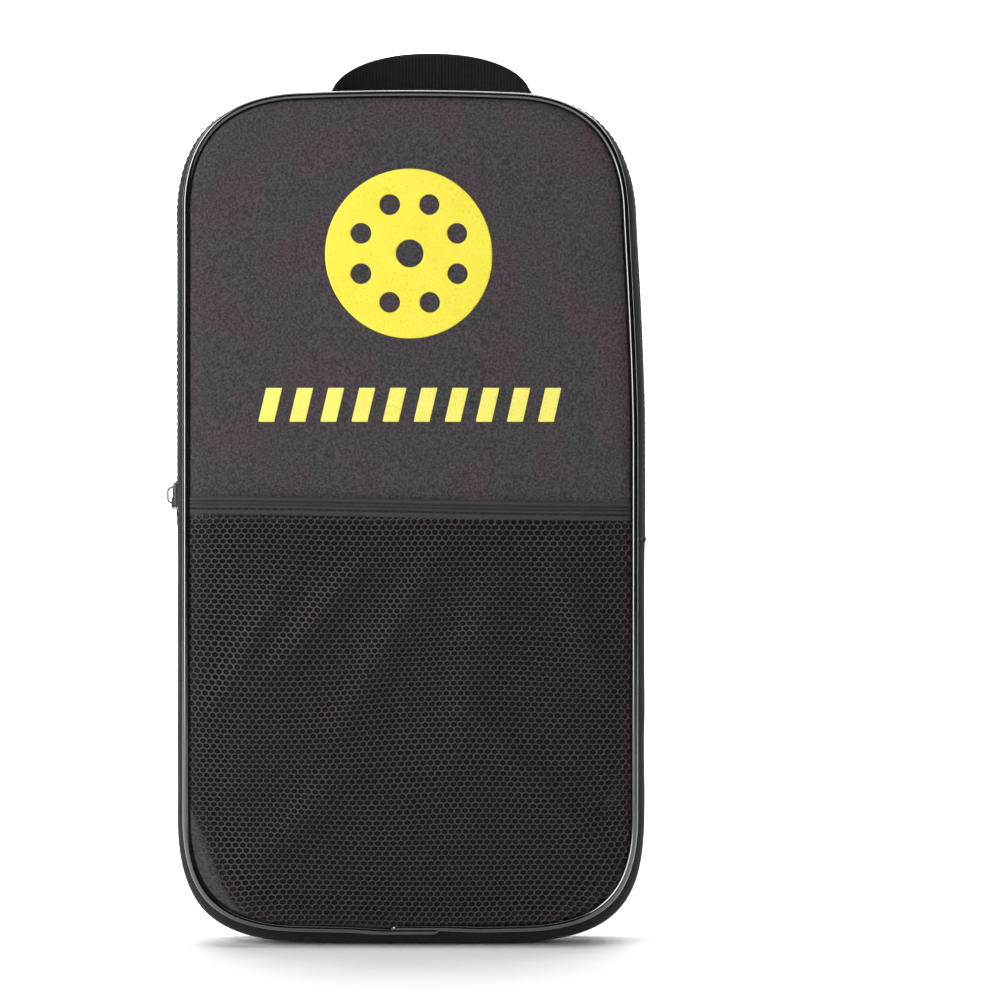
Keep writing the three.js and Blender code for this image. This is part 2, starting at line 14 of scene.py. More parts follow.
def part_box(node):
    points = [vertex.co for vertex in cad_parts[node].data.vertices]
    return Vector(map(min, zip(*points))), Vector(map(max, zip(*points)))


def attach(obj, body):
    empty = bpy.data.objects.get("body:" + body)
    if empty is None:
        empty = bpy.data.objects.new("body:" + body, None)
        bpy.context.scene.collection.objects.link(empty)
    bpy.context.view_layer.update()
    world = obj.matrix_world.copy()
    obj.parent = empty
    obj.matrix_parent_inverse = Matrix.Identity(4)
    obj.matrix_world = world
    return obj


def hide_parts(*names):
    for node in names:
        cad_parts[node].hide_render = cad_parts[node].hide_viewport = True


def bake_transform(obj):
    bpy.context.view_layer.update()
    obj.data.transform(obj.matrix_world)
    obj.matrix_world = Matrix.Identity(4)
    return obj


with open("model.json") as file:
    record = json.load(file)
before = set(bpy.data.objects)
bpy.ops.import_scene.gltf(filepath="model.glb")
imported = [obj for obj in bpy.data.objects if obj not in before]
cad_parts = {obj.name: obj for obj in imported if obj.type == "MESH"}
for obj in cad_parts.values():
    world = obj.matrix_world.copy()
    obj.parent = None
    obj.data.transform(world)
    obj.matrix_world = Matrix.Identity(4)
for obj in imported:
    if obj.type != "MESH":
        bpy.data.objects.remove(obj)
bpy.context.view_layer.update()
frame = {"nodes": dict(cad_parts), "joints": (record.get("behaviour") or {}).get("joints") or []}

MM = 0.001

# ---- sizes ----

# The seam outline is the rounded rectangle that both pipings follow, and the panels lie just inside it.
PANEL_INSET = 2 * MM
FACE_PROUD = 1.1 * MM
CORNER = 55 * MM
(_, _, panel_low), (panel_side, panel_face, panel_high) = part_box("back_fabric")
SEAM_HALF = panel_side + PANEL_INSET
SEAM_LOW = panel_low - PANEL_INSET
SEAM_HIGH = panel_high + PANEL_INSET
CORE_X = SEAM_HALF - CORNER
CORE_LOW = SEAM_LOW + CORNER
CORE_HIGH = SEAM_HIGH - CORNER

PIPING_Y = panel_face - FACE_PROUD
PIPING_RADIUS = 1.7 * MM
GUSSET_EDGE = PIPING_Y - PIPING_RADIUS - 0.3 * MM
GUSSET_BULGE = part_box("lower_gusset_fabric")[1][0] - SEAM_HALF
GUSSET_SAG = SEAM_LOW - GUSSET_BULGE
FABRIC = 0.8 * MM
GAP = 0.3 * MM  # between two layers
LINING_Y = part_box("back_lining")[1][1]
LINING = 0.5 * MM
PADDING_INSET = SEAM_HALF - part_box("back_foam")[1][0]

FOLD_Z = 0.5 * (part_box("flap_fabric")[0][2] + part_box("lower_front_fabric")[1][2])
FOLD_Y = -(PIPING_Y + PIPING_RADIUS + 1.8 * MM)  # the fold lies a little in front of the piping
FOLD_REACH = 10 * MM  # the cloth bends this far above and below the fold

# The zip runs from the left end over the top to the right one.
ZIP_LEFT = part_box("front_gusset_end_left")[0][2]
ZIP_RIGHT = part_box("front_gusset_end_right")[0][2]
ZIP_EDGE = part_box("rear_zip_gusset")[0][1]
TEETH_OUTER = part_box("rear_zip_teeth")[1][1]
TEETH_PITCH = 1.43 * MM
TEETH_PROUD = 0.9 * MM
TAPE_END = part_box("rear_zip_tape")[1][1]

# How the soft shape has settled: the right side leans in towards the top, and the ends are a little bowed.
RIGHT_LEAN = 6.1 * MM
LEAN_FROM = 250 * MM
TOP_BOW = 5 * MM
BOTTOM_BOW = 3 * MM
TOP_PUSH = 3.8 * MM  # the padding pushes the corners out, along X and along Z alike
BOTTOM_PUSH = 5.4 * MM


def clamp(value, low=0.0, high=1.0):
    return max(low, min(high, value))


def smooth(value):
    t = clamp(value)
    return t * t * (3 - 2 * t)


def mix(a, b, t):
    return a + (b - a) * t


def spread(low, high, count):
    """Even steps from one value to another, both included."""
    return [mix(low, high, i / count) for i in range(count + 1)]


def eased(low, high, count):
    """Steps from one value to another that get closer together towards both ends."""
    return [mix(low, high, 0.5 - 0.5 * math.cos(math.pi * i / count)) for i in range(count + 1)]


def middle(low, high):
    return [(a + b) / 2 for a, b in zip(low, high)]


def turns(count, start=0.0):
    """The angles of so many even steps round a circle."""
    return [2 * math.pi * (i + start) / count for i in range(count)]


def settle(x, y, z):
    """Where a point of the soft parts ends up, once the case has taken its settled shape."""
    lean = smooth((z - LEAN_FROM) / (SEAM_HIGH - LEAN_FROM)) * clamp(x / SEAM_HALF)
    across = (x / SEAM_HALF) ** 2
    top = smooth((z - CORE_HIGH + CORNER) / (2 * CORNER))
    bottom = smooth((CORE_LOW + CORNER - z) / (2 * CORNER))
    over_z = max(CORE_LOW - z, z - CORE_HIGH)
    most = TOP_PUSH if z > CORE_LOW else BOTTOM_PUSH
    push = most * smooth((abs(x) - CORE_X) / CORNER) * smooth(over_z / CORNER)
    x_out = math.copysign(push, x)
    z_out = math.copysign(push, z - CORE_LOW)
    rise = BOTTOM_BOW * across * bottom - TOP_BOW * across * top
    return Vector((x - RIGHT_LEAN * lean + x_out, y, z + rise + z_out))


# ---- meshes ----


def add_object(name, data):
    added = bpy.data.objects.new(name, data)
    bpy.context.scene.collection.objects.link(added)
    return added


def smooth_faces(mesh):
    for polygon in mesh.polygons:
        polygon.use_smooth = True


def make_piece(name, points, faces, uvs, material):
    """A mesh object whose faces point outwards, with its cloth coordinates in metres."""
    mesh = bpy.data.meshes.new(name)
    mesh.from_pydata([tuple(p) for p in points], [], faces)
    if uvs:
        layer = mesh.uv_layers.new(name="cloth")
        layer.data.foreach_set("uv", [value for uv in uvs for value in uv])
    bm = bmesh.new()
    bm.from_mesh(mesh)
    bmesh.ops.recalc_face_normals(bm, faces=bm.faces)
    bm.to_mesh(mesh)
    bm.free()
    smooth_faces(mesh)
    mesh.materials.append(material)
    return add_object(name, mesh)


def loft(name, rings, material, closed=False):
    """Joins rings of points, each a closed section with as many points, into one closed body."""
    sides = len(rings[0])
    points = [p for ring in rings for p in ring]
    spans = len(rings) if closed else len(rings) - 1
    run = [0.0]
    for r in range(spans):
        run.append(run[-1] + (rings[(r + 1) % len(rings)][0] - rings[r][0]).length)
    around = [0.0]
    for s in range(sides):
        around.append(around[-1] + (rings[0][(s + 1) % sides] - rings[0][s]).length)
    faces = []
    uvs = []
    for r in range(spans):
        following = (r + 1) % len(rings)
        for s in range(sides):
            t = (s + 1) % sides
            faces.append((r * sides + s, r * sides + t, following * sides + t, following * sides + s))
            uvs += [(run[r], around[s]), (run[r], around[s + 1])]
            uvs += [(run[r + 1], around[s + 1]), (run[r + 1], around[s])]
    if not closed:
        for r in (0, len(rings) - 1):
            faces.append(tuple(r * sides + s for s in range(sides)))
            uvs += [(run[min(r, spans)], around[s]) for s in range(sides)]
    return make_piece(name, points, faces, uvs, material)


def grid_body(name, outer, inner, coordinates, material):
    """A closed body between two grids of points with as many rows and columns."""
    rows = len(outer)
    columns = len(outer[0])
    points = [p for row in outer for p in row] + [p for row in inner for p in row]
    other = rows * columns
    faces = []
    uvs = []

    def add(cells, layers):
        faces.append(tuple(layer * other + r * columns + c for (r, c), layer in zip(cells, layers)))
        uvs.extend(coordinates[r][c] for r, c in cells)

    for r in range(rows - 1):
        for c in range(columns - 1):
            cells = [(r, c), (r, c + 1), (r + 1, c + 1), (r + 1, c)]
            add(cells, (0, 0, 0, 0))
            add(cells[::-1], (1, 1, 1, 1))
    for c in range(columns - 1):
        for r in (0, rows - 1):
            add([(r, c), (r, c + 1), (r, c + 1), (r, c)], (0, 0, 1, 1))
    for r in range(rows - 1):
        for c in (0, columns - 1):
            add([(r, c), (r + 1, c), (r + 1, c), (r, c)], (0, 0, 1, 1))
    return make_piece(name, points, faces, uvs, material)


def rods(name, bodies, lengths, thickness, material):
    """Many alike rods in one piece. A body is a list of rings, which lie at the lengths along it."""
    points = []
    faces = []
    uvs = []
    for rings in bodies:
        sides = len(rings[0])
        first = len(points)
        points += [point for ring in rings for point in ring]
        for r in range(len(rings) - 1):
            a = first + r * sides
            u = lengths[r]
            v = lengths[r + 1]
            for i in range(sides):
                j = (i + 1) % sides
                faces.append((a + i, a + j, a + sides + j, a + sides + i))
                uvs += [(u, i * thickness), (u, j * thickness), (v, j * thickness), (v, i * thickness)]
        for r in (0, len(rings) - 1):
            faces.append(tuple(first + r * sides + i for i in range(sides)))
            uvs += [(0, 0)] * sides
    return make_piece(name, points, faces, uvs, material)


def flat_slab(name, flat, faces, place, levels, material):
    """A closed slab over a flat shape, where place(a, b, level) gives its points at both levels."""
    count = len(flat)
    points = [place(a, b, level) for level in levels for a, b in flat]
    edges = dict.fromkeys((a, b) for face in faces for a, b in zip(face, face[1:] + face[:1]))
    body = list(faces)
    body += [tuple(count + v for v in reversed(face)) for face in faces]
    body += [(b, a, count + a, count + b) for a, b in edges if (b, a) not in edges]
    uvs = [flat[v % count] for face in body for v in face]
    return make_piece(name, points, body, uvs, material)


def join_pieces(name, pieces):
    """One object from several of the same material."""
    bm = bmesh.new()
    for piece in pieces:
        bm.from_mesh(piece.data)
    material = pieces[0].data.materials[0]
    for piece in pieces:
        mesh = piece.data
        bpy.data.objects.remove(piece)
        bpy.data.meshes.remove(mesh)
    mesh = bpy.data.meshes.new(name)
    bm.to_mesh(mesh)
    bm.free()
    mesh.materials.append(material)
    smooth_faces(mesh)
    return add_object(name, mesh)


def apply_modifiers(piece):
    """Bakes a piece's modifiers into its mesh."""
    bpy.context.view_layer.update()
    evaluated = piece.evaluated_get(bpy.context.evaluated_depsgraph_get())
    mesh = bpy.data.meshes.new_from_object(evaluated)
    piece.modifiers.clear()
    piece.data = mesh
    smooth_faces(mesh)
    return piece


# ---- the seam outline ----

SIDE = CORE_HIGH - CORE_LOW
ARC = CORNER * math.pi / 2
RIGHT_START = CORE_X + ARC
TOP_START = RIGHT_START + SIDE + ARC
LEFT_START = TOP_START + 2 * CORE_X + ARC
SEAM_LENGTH = LEFT_START + SIDE + ARC + CORE_X


def on_right(z):
    """The way round the seam from the bottom's middle, anticlockwise, to a height on the right side."""
    return RIGHT_START + z - CORE_LOW


def on_left(z):
    return LEFT_START + CORE_HIGH - z


def station(way):
    """A point of the outline's core and the direction out from it, as (x, z, out_x, out_z)."""
    way %= SEAM_LENGTH
    legs = [
        (CORE_X, lambda t: (t, CORE_LOW, -90)),
        (ARC, lambda t: (CORE_X, CORE_LOW, -90 + 90 * t / ARC)),
        (SIDE, lambda t: (CORE_X, CORE_LOW + t, 0)),
        (ARC, lambda t: (CORE_X, CORE_HIGH, 90 * t / ARC)),
        (2 * CORE_X, lambda t: (CORE_X - t, CORE_HIGH, 90)),
        (ARC, lambda t: (-CORE_X, CORE_HIGH, 90 + 90 * t / ARC)),
        (SIDE, lambda t: (-CORE_X, CORE_HIGH - t, 180)),
        (ARC, lambda t: (-CORE_X, CORE_LOW, 180 + 90 * t / ARC)),
        (CORE_X, lambda t: (-CORE_X + t, CORE_LOW, 270)),
    ]
    for length, place_on in legs:
        if way <= length:
            break
        way -= length
    x, z, degrees = place_on(min(way, length))
    angle = math.radians(degrees)
    return x, z, math.cos(angle), math.sin(angle)


def ways(start, end, step):
    """Even steps along the seam from start to end."""
    return spread(start, end, max(1, round(abs(end - start) / step)))


def bulge_share(y):
    """The share of its full bulge that the gusset has at depth y."""
    return 1 - clamp(abs(y) / GUSSET_EDGE) ** 4


def seam_point(way, offset, y):
    """A settled point at an outward offset from the seam, at depth y."""
    x, z, out_x, out_z = station(way)
    reach = CORNER + offset
    sag = GUSSET_SAG * bulge_share(y) * abs(out_z)
    return settle(x + out_x * reach, y, z + out_z * reach - sag)


def sweep(name, section, path, material, closed=False):
    """Carries a section of (offset, y) pairs along the seam. It may be a function of the way round."""
    at = section if callable(section) else lambda way: section
    rings = [[seam_point(way, offset, y) for offset, y in at(way)] for way in path]
    return loft(name, rings, material, closed)


RIPPLE = 0.25 * MM
PUCKER = 0.12 * MM  # the cloth puckers between stitches near its edges
PUCKER_PITCH = 9 * MM
PUCKER_FROM = 15 * MM


def gusset_offset(way, y):
    """How far the gusset's outer face stands out at depth y, with the slight ripple of sewn cloth."""
    ripple = RIPPLE * noise.noise(Vector((way * 40, y * 60, 3)))
    near_edge = smooth((abs(y) - PUCKER_FROM) / (5 * MM))
    pucker = PUCKER * math.sin(way * 2 * math.pi / PUCKER_PITCH) * near_edge
    return GUSSET_BULGE * bulge_share(y) + (ripple + pucker) * smooth((GUSSET_EDGE - abs(y)) / (3 * MM))


def gusset_layer(y_from, y_to, top, under, steps):
    """The section of a layer of the gusset between two depths below its outer face."""
    depths = spread(y_from, y_to, steps)

    def at(way):
        outer = [(gusset_offset(way, y) - top, y) for y in depths]
        inner = [(gusset_offset(way, y) - under, y) for y in reversed(depths)]
        return outer + inner

    return at


# ---- materials ----


class Finish:
    """One node material, with short calls for the nodes that repeat."""

    def __init__(self, name, roughness, specular=0.5, metallic=0.0):
        self.material = bpy.data.materials.new(name)
        self.material.use_nodes = True
        self.tree = self.material.node_tree
        self.shader = self.tree.nodes["Principled BSDF"]
        self.fix("Roughness", roughness)
        self.fix("Specular IOR Level", specular)
        self.fix("Metallic", metallic)
        self.cloth = self.tree.nodes.new("ShaderNodeUVMap")
        self.cloth.uv_map = "cloth"
        self.place = self.tree.nodes.new("ShaderNodeTexCoord").outputs["Object"]

    def fix(self, socket, value):
        self.shader.inputs[socket].default_value = value

    def link(self, source, target):
        if isinstance(source, bpy.types.NodeSocket):
            self.tree.links.new(source, target)
        else:
            target.default_value = source

    def math(self, operation, *terms):
        node = self.tree.nodes.new("ShaderNodeMath")
        node.operation = operation
        for term, socket in zip(terms, node.inputs):
            self.link(term, socket)
        return node.outputs[0]

    def noise(self, size, detail):
        """Noise whose features are about size metres across."""
        node = self.tree.nodes.new("ShaderNodeTexNoise")
        self.link(self.place, node.inputs["Vector"])
        node.inputs["Scale"].default_value = 1 / size
        node.inputs["Detail"].default_value = detail
        return node.outputs["Fac"]

    def wave(self, axis, pitch):
        """A sine along one axis of the cloth, from -1 to 1."""
        split = self.tree.nodes.new("ShaderNodeSeparateXYZ")
        self.link(self.cloth.outputs["UV"], split.inputs[0])
        return self.math("SINE", self.math("MULTIPLY", split.outputs[axis], 2 * math.pi / pitch))

    def weave(self, pitch):
        """A plain weave: (which yarn is on top, from 0 to 1, and the height of the yarns)."""
        crossing = self.math("MULTIPLY", self.wave("X", pitch), self.wave("Y", pitch))
        over = self.math("MULTIPLY_ADD", crossing, 0.5, 0.5)
        return over, self.math("POWER", self.math("ABSOLUTE", crossing), 0.5)

    def ramp(self, factor, *stops):
        """A colour ramp from (position, colour) stops."""
        node = self.tree.nodes.new("ShaderNodeValToRGB")
        self.link(factor, node.inputs[0])
        elements = node.color_ramp.elements
        while len(elements) < len(stops):
            elements.new(0.5)
        for element, (position, colour) in zip(elements, stops):
            element.position = position
            element.color = (*colour, 1)
        return node.outputs[0]

    def blend(self, factor, a, b, kind="MIX"):
        node = self.tree.nodes.new("ShaderNodeMix")
        node.data_type = "RGBA"
        node.blend_type = kind
        self.link(factor, node.inputs[0])
        self.link(a, node.inputs[6])
        self.link(b, node.inputs[7])
        return node.outputs[2]

    def times(self, a, b):
        return self.blend(1.0, a, b, "MULTIPLY")

    def colour(self, socket):
        self.link(socket, self.shader.inputs["Base Color"])

    def roughness(self, factor, low, high):
        node = self.tree.nodes.new("ShaderNodeMapRange")
        self.link(factor, node.inputs["Value"])
        node.inputs["To Min"].default_value = low
        node.inputs["To Max"].default_value = high
        self.link(node.outputs[0], self.shader.inputs["Roughness"])

    def bump(self, *layers):
        """Bumps of (height, distance in metres) laid over each other."""
        normal = None
        for height, distance in layers:
            node = self.tree.nodes.new("ShaderNodeBump")
            self.link(height, node.inputs["Height"])
            node.inputs["Distance"].default_value = distance
            if normal:
                self.link(normal, node.inputs["Normal"])
            normal = node.outputs[0]
        self.link(normal, self.shader.inputs["Normal"])


BEHIND_NET = (0.20, 0.17, 0.19)  # the share of the cloth's colour that is left where the net shades it
CLOTH_PITCH = 1.0 * MM
GREEN_TINT = (0.88, 1.04, 0.98)
VIOLET_TINT = (1.14, 0.92, 1.06)


def scaled(colour, share):
    return tuple(channel * share for channel in colour)


def grey(value):
    return (value,) * 3


def woven(name, colour, pitch, sheen, grain, tints=True, shaded=False):
    """Woven polyester: crossing yarns, a fine grain, and blotches that lean to violet or to green."""
    finish = Finish(name, 0.82, 0.25)
    over, height = finish.weave(pitch)
    fine = finish.noise(1.15 * MM, 3)
    yarns = finish.ramp(over, (0.2, scaled(colour, 0.72)), (0.8, scaled(colour, 1.22)))
    cloth = finish.times(yarns, finish.ramp(fine, (0.36, grey(1 - grain)), (0.64, grey(1 + grain))))
    # Painted shading: the cloth behind the net has its colour darkened.
    if shaded:
        net_shade = finish.tree.nodes.new("ShaderNodeAttribute")
        net_shade.attribute_name = "net_shade"
        painted_shade = finish.ramp(net_shade.outputs["Fac"], (0.0, grey(1)), (1.0, BEHIND_NET))
        cloth = finish.times(cloth, painted_shade)
    if tints:
        blotches = finish.ramp(finish.noise(30 * MM, 4), (0.35, GREEN_TINT), (0.65, VIOLET_TINT))
        cloth = finish.times(cloth, blotches)
    finish.colour(cloth)
    finish.roughness(fine, 0.72, 0.92)
    finish.bump((height, 0.10 * MM), (fine, 0.22 * MM))
    finish.fix("Sheen Weight", sheen)
    finish.fix("Sheen Roughness", 0.4)
    return finish.material


def ribbed(name, colour, pitch, axis, depth):
    """Ribbed tape: fine ridges across it, darker in the grooves and lighter on the crests as painted
    shading and light, with the twist of the yarns showing.
    """
    finish = Finish(name, 0.7, 0.3)
    ridges = finish.wave(axis, pitch)
    fine = finish.noise(0.7 * MM, 3)
    # Painted shading and light: the colour follows the ridges, darker in their grooves and lighter on
    # their crests.
    painted_shade = finish.ramp(ridges, (0.0, scaled(colour, 0.65)), (1.0, scaled(colour, 1.25)))
    finish.colour(finish.times(painted_shade, finish.ramp(fine, (0.3, grey(0.8)), (0.7, grey(1.25)))))
    finish.roughness(fine, 0.6, 0.85)
    finish.bump((ridges, depth), (fine, 0.05 * MM))
    return finish.material


def glossy_vinyl():
    """The piping's black PVC, polished, with faint rubbing marks."""
    finish = Finish("glossy_vinyl", 0.12, 1.0)
    rubbed = finish.noise(3 * MM, 4)
    drift = finish.noise(25 * MM, 2)
    finish.colour(finish.ramp(drift, (0.3, (0.003, 0.003, 0.0035)), (0.7, (0.006, 0.006, 0.007))))
    finish.roughness(rubbed, 0.06, 0.18)
    finish.bump((rubbed, 0.03 * MM))
    finish.fix("Coat Weight", 1.0)
    finish.fix("Coat Roughness", 0.08)
    return finish.material


def net_yarn():
    """Knitted nylon net: dark yarn with the knit's small loop marks, whose bright peaks are painted
    glints.
    """
    finish = Finish("net_yarn", 0.5, 0.45)
    loops_and_glints = finish.noise(0.8 * MM, 2)
    drift = finish.noise(30 * MM, 2)
    base = finish.ramp(drift, (0.3, (0.012, 0.0088, 0.0095)), (0.7, (0.018, 0.0108, 0.0132)))
    # The knit's bright spots, up to three times the yarn's colour, are painted glints on a real loop
    # texture.
    finish.colour(finish.times(base, finish.ramp(loops_and_glints, (0.38, grey(0.35)), (0.66, grey(3.2)))))
    finish.roughness(loops_and_glints, 0.3, 0.6)
    finish.bump((loops_and_glints, 0.12 * MM))
    finish.fix("Sheen Weight", 0.08)
    return finish.material


def plastic(name, colour, roughness):
    finish = Finish(name, roughness)
    fine = finish.noise(0.6 * MM, 2)
    finish.colour(finish.ramp(fine, (0.3, scaled(colour, 0.8)), (0.7, scaled(colour, 1.25))))
    finish.roughness(fine, roughness * 0.75, roughness * 1.3)
    finish.bump((fine, 0.03 * MM))
    return finish.material


def painted_metal():
    """Black-painted zinc, rubbed a little paler where it is handled."""
    finish = Finish("painted_metal", 0.34, 0.6, 0.35)
    worn = finish.noise(1.6 * MM, 4)
    paint = (0.4, (0.016, 0.016, 0.017))
    rubbed = (0.62, (0.03, 0.03, 0.031))
    bare = (0.75, (0.09, 0.088, 0.084))
    finish.colour(finish.ramp(worn, paint, rubbed, bare))
    finish.roughness(worn, 0.22, 0.48)
    finish.bump((worn, 0.03 * MM))
    finish.fix("Coat Weight", 0.3)
    return finish.material


def screen_ink(name, colour):
    """Screen-printed ink on woven cloth: the yarns show through, and the ink thins out in places."""
    finish = Finish(name, 0.6, 0.35)
    _, height = finish.weave(CLOTH_PITCH)
    fine = finish.noise(0.9 * MM, 3)
    patchy = finish.noise(22 * MM, 3)
    yarns = finish.ramp(height, (0.0, scaled(colour, 0.72)), (0.55, colour))
    thin = finish.ramp(fine, (0.28, scaled(colour, 0.62)), (0.42, colour), (0.75, scaled(colour, 1.06)))
    wash = finish.ramp(patchy, (0.3, (0.94, 0.95, 0.80)), (0.7, (1.03, 1.02, 1.1)))
    finish.colour(finish.times(finish.blend(0.5, yarns, thin), wash))
    finish.roughness(fine, 0.5, 0.75)
    finish.bump((height, 0.06 * MM), (fine, 0.05 * MM))
    return finish.material


def soft_foam():
    """Open-cell foam, grey, with its cells showing."""
    finish = Finish("soft_foam", 0.95, 0.1)
    cells = finish.noise(0.7 * MM, 2)
    finish.colour(finish.ramp(cells, (0.35, (0.16, 0.16, 0.155)), (0.6, (0.34, 0.34, 0.33))))
    finish.roughness(cells, 0.85, 1.0)
    finish.bump((cells, 0.2 * MM))
    return finish.material


FABRIC_COLOUR = (0.046, 0.040, 0.043)
FABRIC_LOOK = woven("woven_fabric", FABRIC_COLOUR, CLOTH_PITCH, 0.06, 0.45)
FRONT_LOOK = woven("front_fabric", FABRIC_COLOUR, CLOTH_PITCH, 0.06, 0.45, shaded=True)
# The gusset is the same cloth as the panels, given a far darker colour as painted shading.
GUSSET_SHADED_LOOK = woven("gusset_fabric", (0.008, 0.0072, 0.0085), CLOTH_PITCH, 0.03, 0.3)
LINING_LOOK = woven("lining_taffeta", (0.020, 0.020, 0.023), 0.7 * MM, 0.1, 0.1, tints=False)
PIPING_LOOK = glossy_vinyl()
NET_LOOK = net_yarn()
TAPE_LOOK = ribbed("zip_tape", (0.026, 0.024, 0.026), 0.8 * MM, "Y", 0.06 * MM)
RIBBON_LOOK = ribbed("folded_ribbon", (0.040, 0.037, 0.039), 0.55 * MM, "X", 0.05 * MM)
WEBBING_LOOK = ribbed("nylon_webbing", (0.0048, 0.004, 0.0034), 0.9 * MM, "Y", 0.08 * MM)
THREAD_LOOK = ribbed("black_thread", (0.018, 0.016, 0.018), 0.4 * MM, "X", 0.05 * MM)
TEETH_LOOK = plastic("zip_plastic", (0.012, 0.011, 0.012), 0.4)
METAL_LOOK = painted_metal()
FOAM_LOOK = soft_foam()
DISC_LOOK = screen_ink("disc_ink", (0.80, 0.70, 0.055))
BAR_LOOK = screen_ink("bar_ink", (0.80, 0.74, 0.14))


def finish_piece(piece, body, *nodes):
    """Hides the solids that a piece stands for, and sets what it rides on.

    A piece without a body has its placing baked into its mesh.
    """
    if nodes:
        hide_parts(*nodes)
    if body:
        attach(piece, body)
    else:
        start, end = ((0, FOLD_Y, FOLD_Z + side * FOLD_REACH) for side in (-1, 1))
        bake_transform(piece)
        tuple(start)
        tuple(end)
    return piece


# ---- the padded panels ----

# Each face of the case: its name, side and body, and how the names of the solids it stands for begin.
# The front has no body of its own: it runs from the case over the fold onto the flap.
FACES = (("front", -1, None, ("lower_front_", "flap_")), ("back", 1, "case", ("back_",)))

PANEL_COLUMNS = 72
PANEL_ROWS = 110
FOLD_ROWS = 20
EDGE_DIP = 0.8 * MM  # the cloth turns in beside the piping
SHOULDER_RUN = 11 * MM
SHOULDER_RISE = 2.4 * MM
CROWN_RUN = 95 * MM
CROWN_RISE = 0.7 * MM


def rim_distance(x, z):
    """How far inside the seam outline a point of a panel lies."""
    reach_x = abs(x) - CORE_X
    reach_z = max(CORE_LOW - z, z - CORE_HIGH)
    if reach_x > 0 and reach_z > 0:
        return CORNER - math.hypot(reach_x, reach_z)
    return CORNER - max(reach_x, reach_z)


RELIEF_COLUMNS = 30
RELIEF_ROWS = 54
RELIEF_FRAMES = 24
RELIEF_SLACK = 0.012  # the cloth is cut this much longer than the panel it covers
RELIEF_SEWN = 7 * MM  # the cloth is held this far in from the seam
RELIEF_MOST = 1.6 * MM  # the padding under the cloth limits how far it can rise


def simulate_relief():
    """Lets a slack cloth, sewn down all round and pushed out by its padding, settle under its own weight.

    Returns the settled height of each point of its grid, in rows from the bottom up.
    """
    across = spread(-SEAM_HALF, SEAM_HALF, RELIEF_COLUMNS)
    places = [(x, z) for z in spread(SEAM_LOW, SEAM_HIGH, RELIEF_ROWS) for x in across]
    row = RELIEF_COLUMNS + 1
    faces = []
    for r in range(RELIEF_ROWS):
        for c in range(RELIEF_COLUMNS):
            first = r * row + c
            faces.append((first, first + 1, first + row + 1, first + row))
    mesh = bpy.data.meshes.new("relief_cloth")
    mesh.from_pydata([(x, 0, z) for x, z in places], [], faces)
    sheet = add_object("relief_cloth", mesh)
    sewn = sheet.vertex_groups.new(name="sewn")
    sewn.add([i for i, place in enumerate(places) if rim_distance(*place) < RELIEF_SEWN], 1.0, "REPLACE")
    cloth = sheet.modifiers.new("cloth", "CLOTH")
    cloth.settings.quality = 8
    cloth.settings.mass = 0.02
    cloth.settings.tension_stiffness = 20
    cloth.settings.compression_stiffness = 20
    cloth.settings.shear_stiffness = 8
    cloth.settings.bending_stiffness = 0.4
    cloth.settings.vertex_group_mass = "sewn"
    cloth.settings.shrink_min = -RELIEF_SLACK
    cloth.settings.use_pressure = True
    cloth.settings.uniform_pressure_force = 1.5
    cloth.point_cache.frame_start = 1
    cloth.point_cache.frame_end = RELIEF_FRAMES
    scene = bpy.context.scene
    for step in range(1, RELIEF_FRAMES + 1):
        scene.frame_set(step)
    settled = sheet.evaluated_get(bpy.context.evaluated_depsgraph_get())
    heights = [-vertex.co.y for vertex in settled.data.vertices]
    scene.frame_set(1)
    bpy.data.objects.remove(sheet)
    bpy.data.meshes.remove(mesh)
    most = max(abs(height) for height in heights) or 1.0
    return [RELIEF_MOST * abs(height) / most for height in heights]


def relief_at(x, z):
    """The simulated cloth's height at a point of a panel, between the points of its grid."""
    across = clamp((x + SEAM_HALF) / (2 * SEAM_HALF)) * RELIEF_COLUMNS
    up = clamp((z - SEAM_LOW) / (SEAM_HIGH - SEAM_LOW)) * RELIEF_ROWS
    c = min(int(across), RELIEF_COLUMNS - 1)
    r = min(int(up), RELIEF_ROWS - 1)
    first = r * (RELIEF_COLUMNS + 1) + c
    above = first + RELIEF_COLUMNS + 1
    low = mix(RELIEF[first], RELIEF[first + 1], across - c)
    high = mix(RELIEF[above], RELIEF[above + 1], across - c)
    return mix(low, high, up - r)


RELIEF = simulate_relief()


def skin_depth(x, z):
    """Depth of the outer face of a padded panel, which is the same at the front and the back."""
    rim = max(rim_distance(x, z) - PANEL_INSET, 0)
    shoulder = math.sqrt(max(0, 1 - (1 - clamp(rim / SHOULDER_RUN)) ** 2))
    crown = smooth(rim / CROWN_RUN)
    wave = 0.35 * MM * noise.noise(Vector((x * 14, 7, z * 14))) * shoulder
    return PIPING_Y - EDGE_DIP + SHOULDER_RISE * shoulder + CROWN_RISE * crown + wave + relief_at(x, z)


def half_width(z, inset):
    """Half the width of the outline drawn in by an inset, at height z."""
    past = max(CORE_LOW - z, z - CORE_HIGH, 0)
    return CORE_X + math.sqrt(max((CORNER - inset) ** 2 - past * past, 0))


def panel_rows(inset):
    """Heights of the rows of a panel: close together at its ends and at the fold."""
    near = FOLD_REACH * 1.3
    rows = eased(SEAM_LOW + inset, SEAM_HIGH - inset, PANEL_ROWS)
    rows = [z for z in rows if abs(z - FOLD_Z) > near]
    return sorted(rows + [FOLD_Z + z for z in spread(-near, near, FOLD_ROWS)])


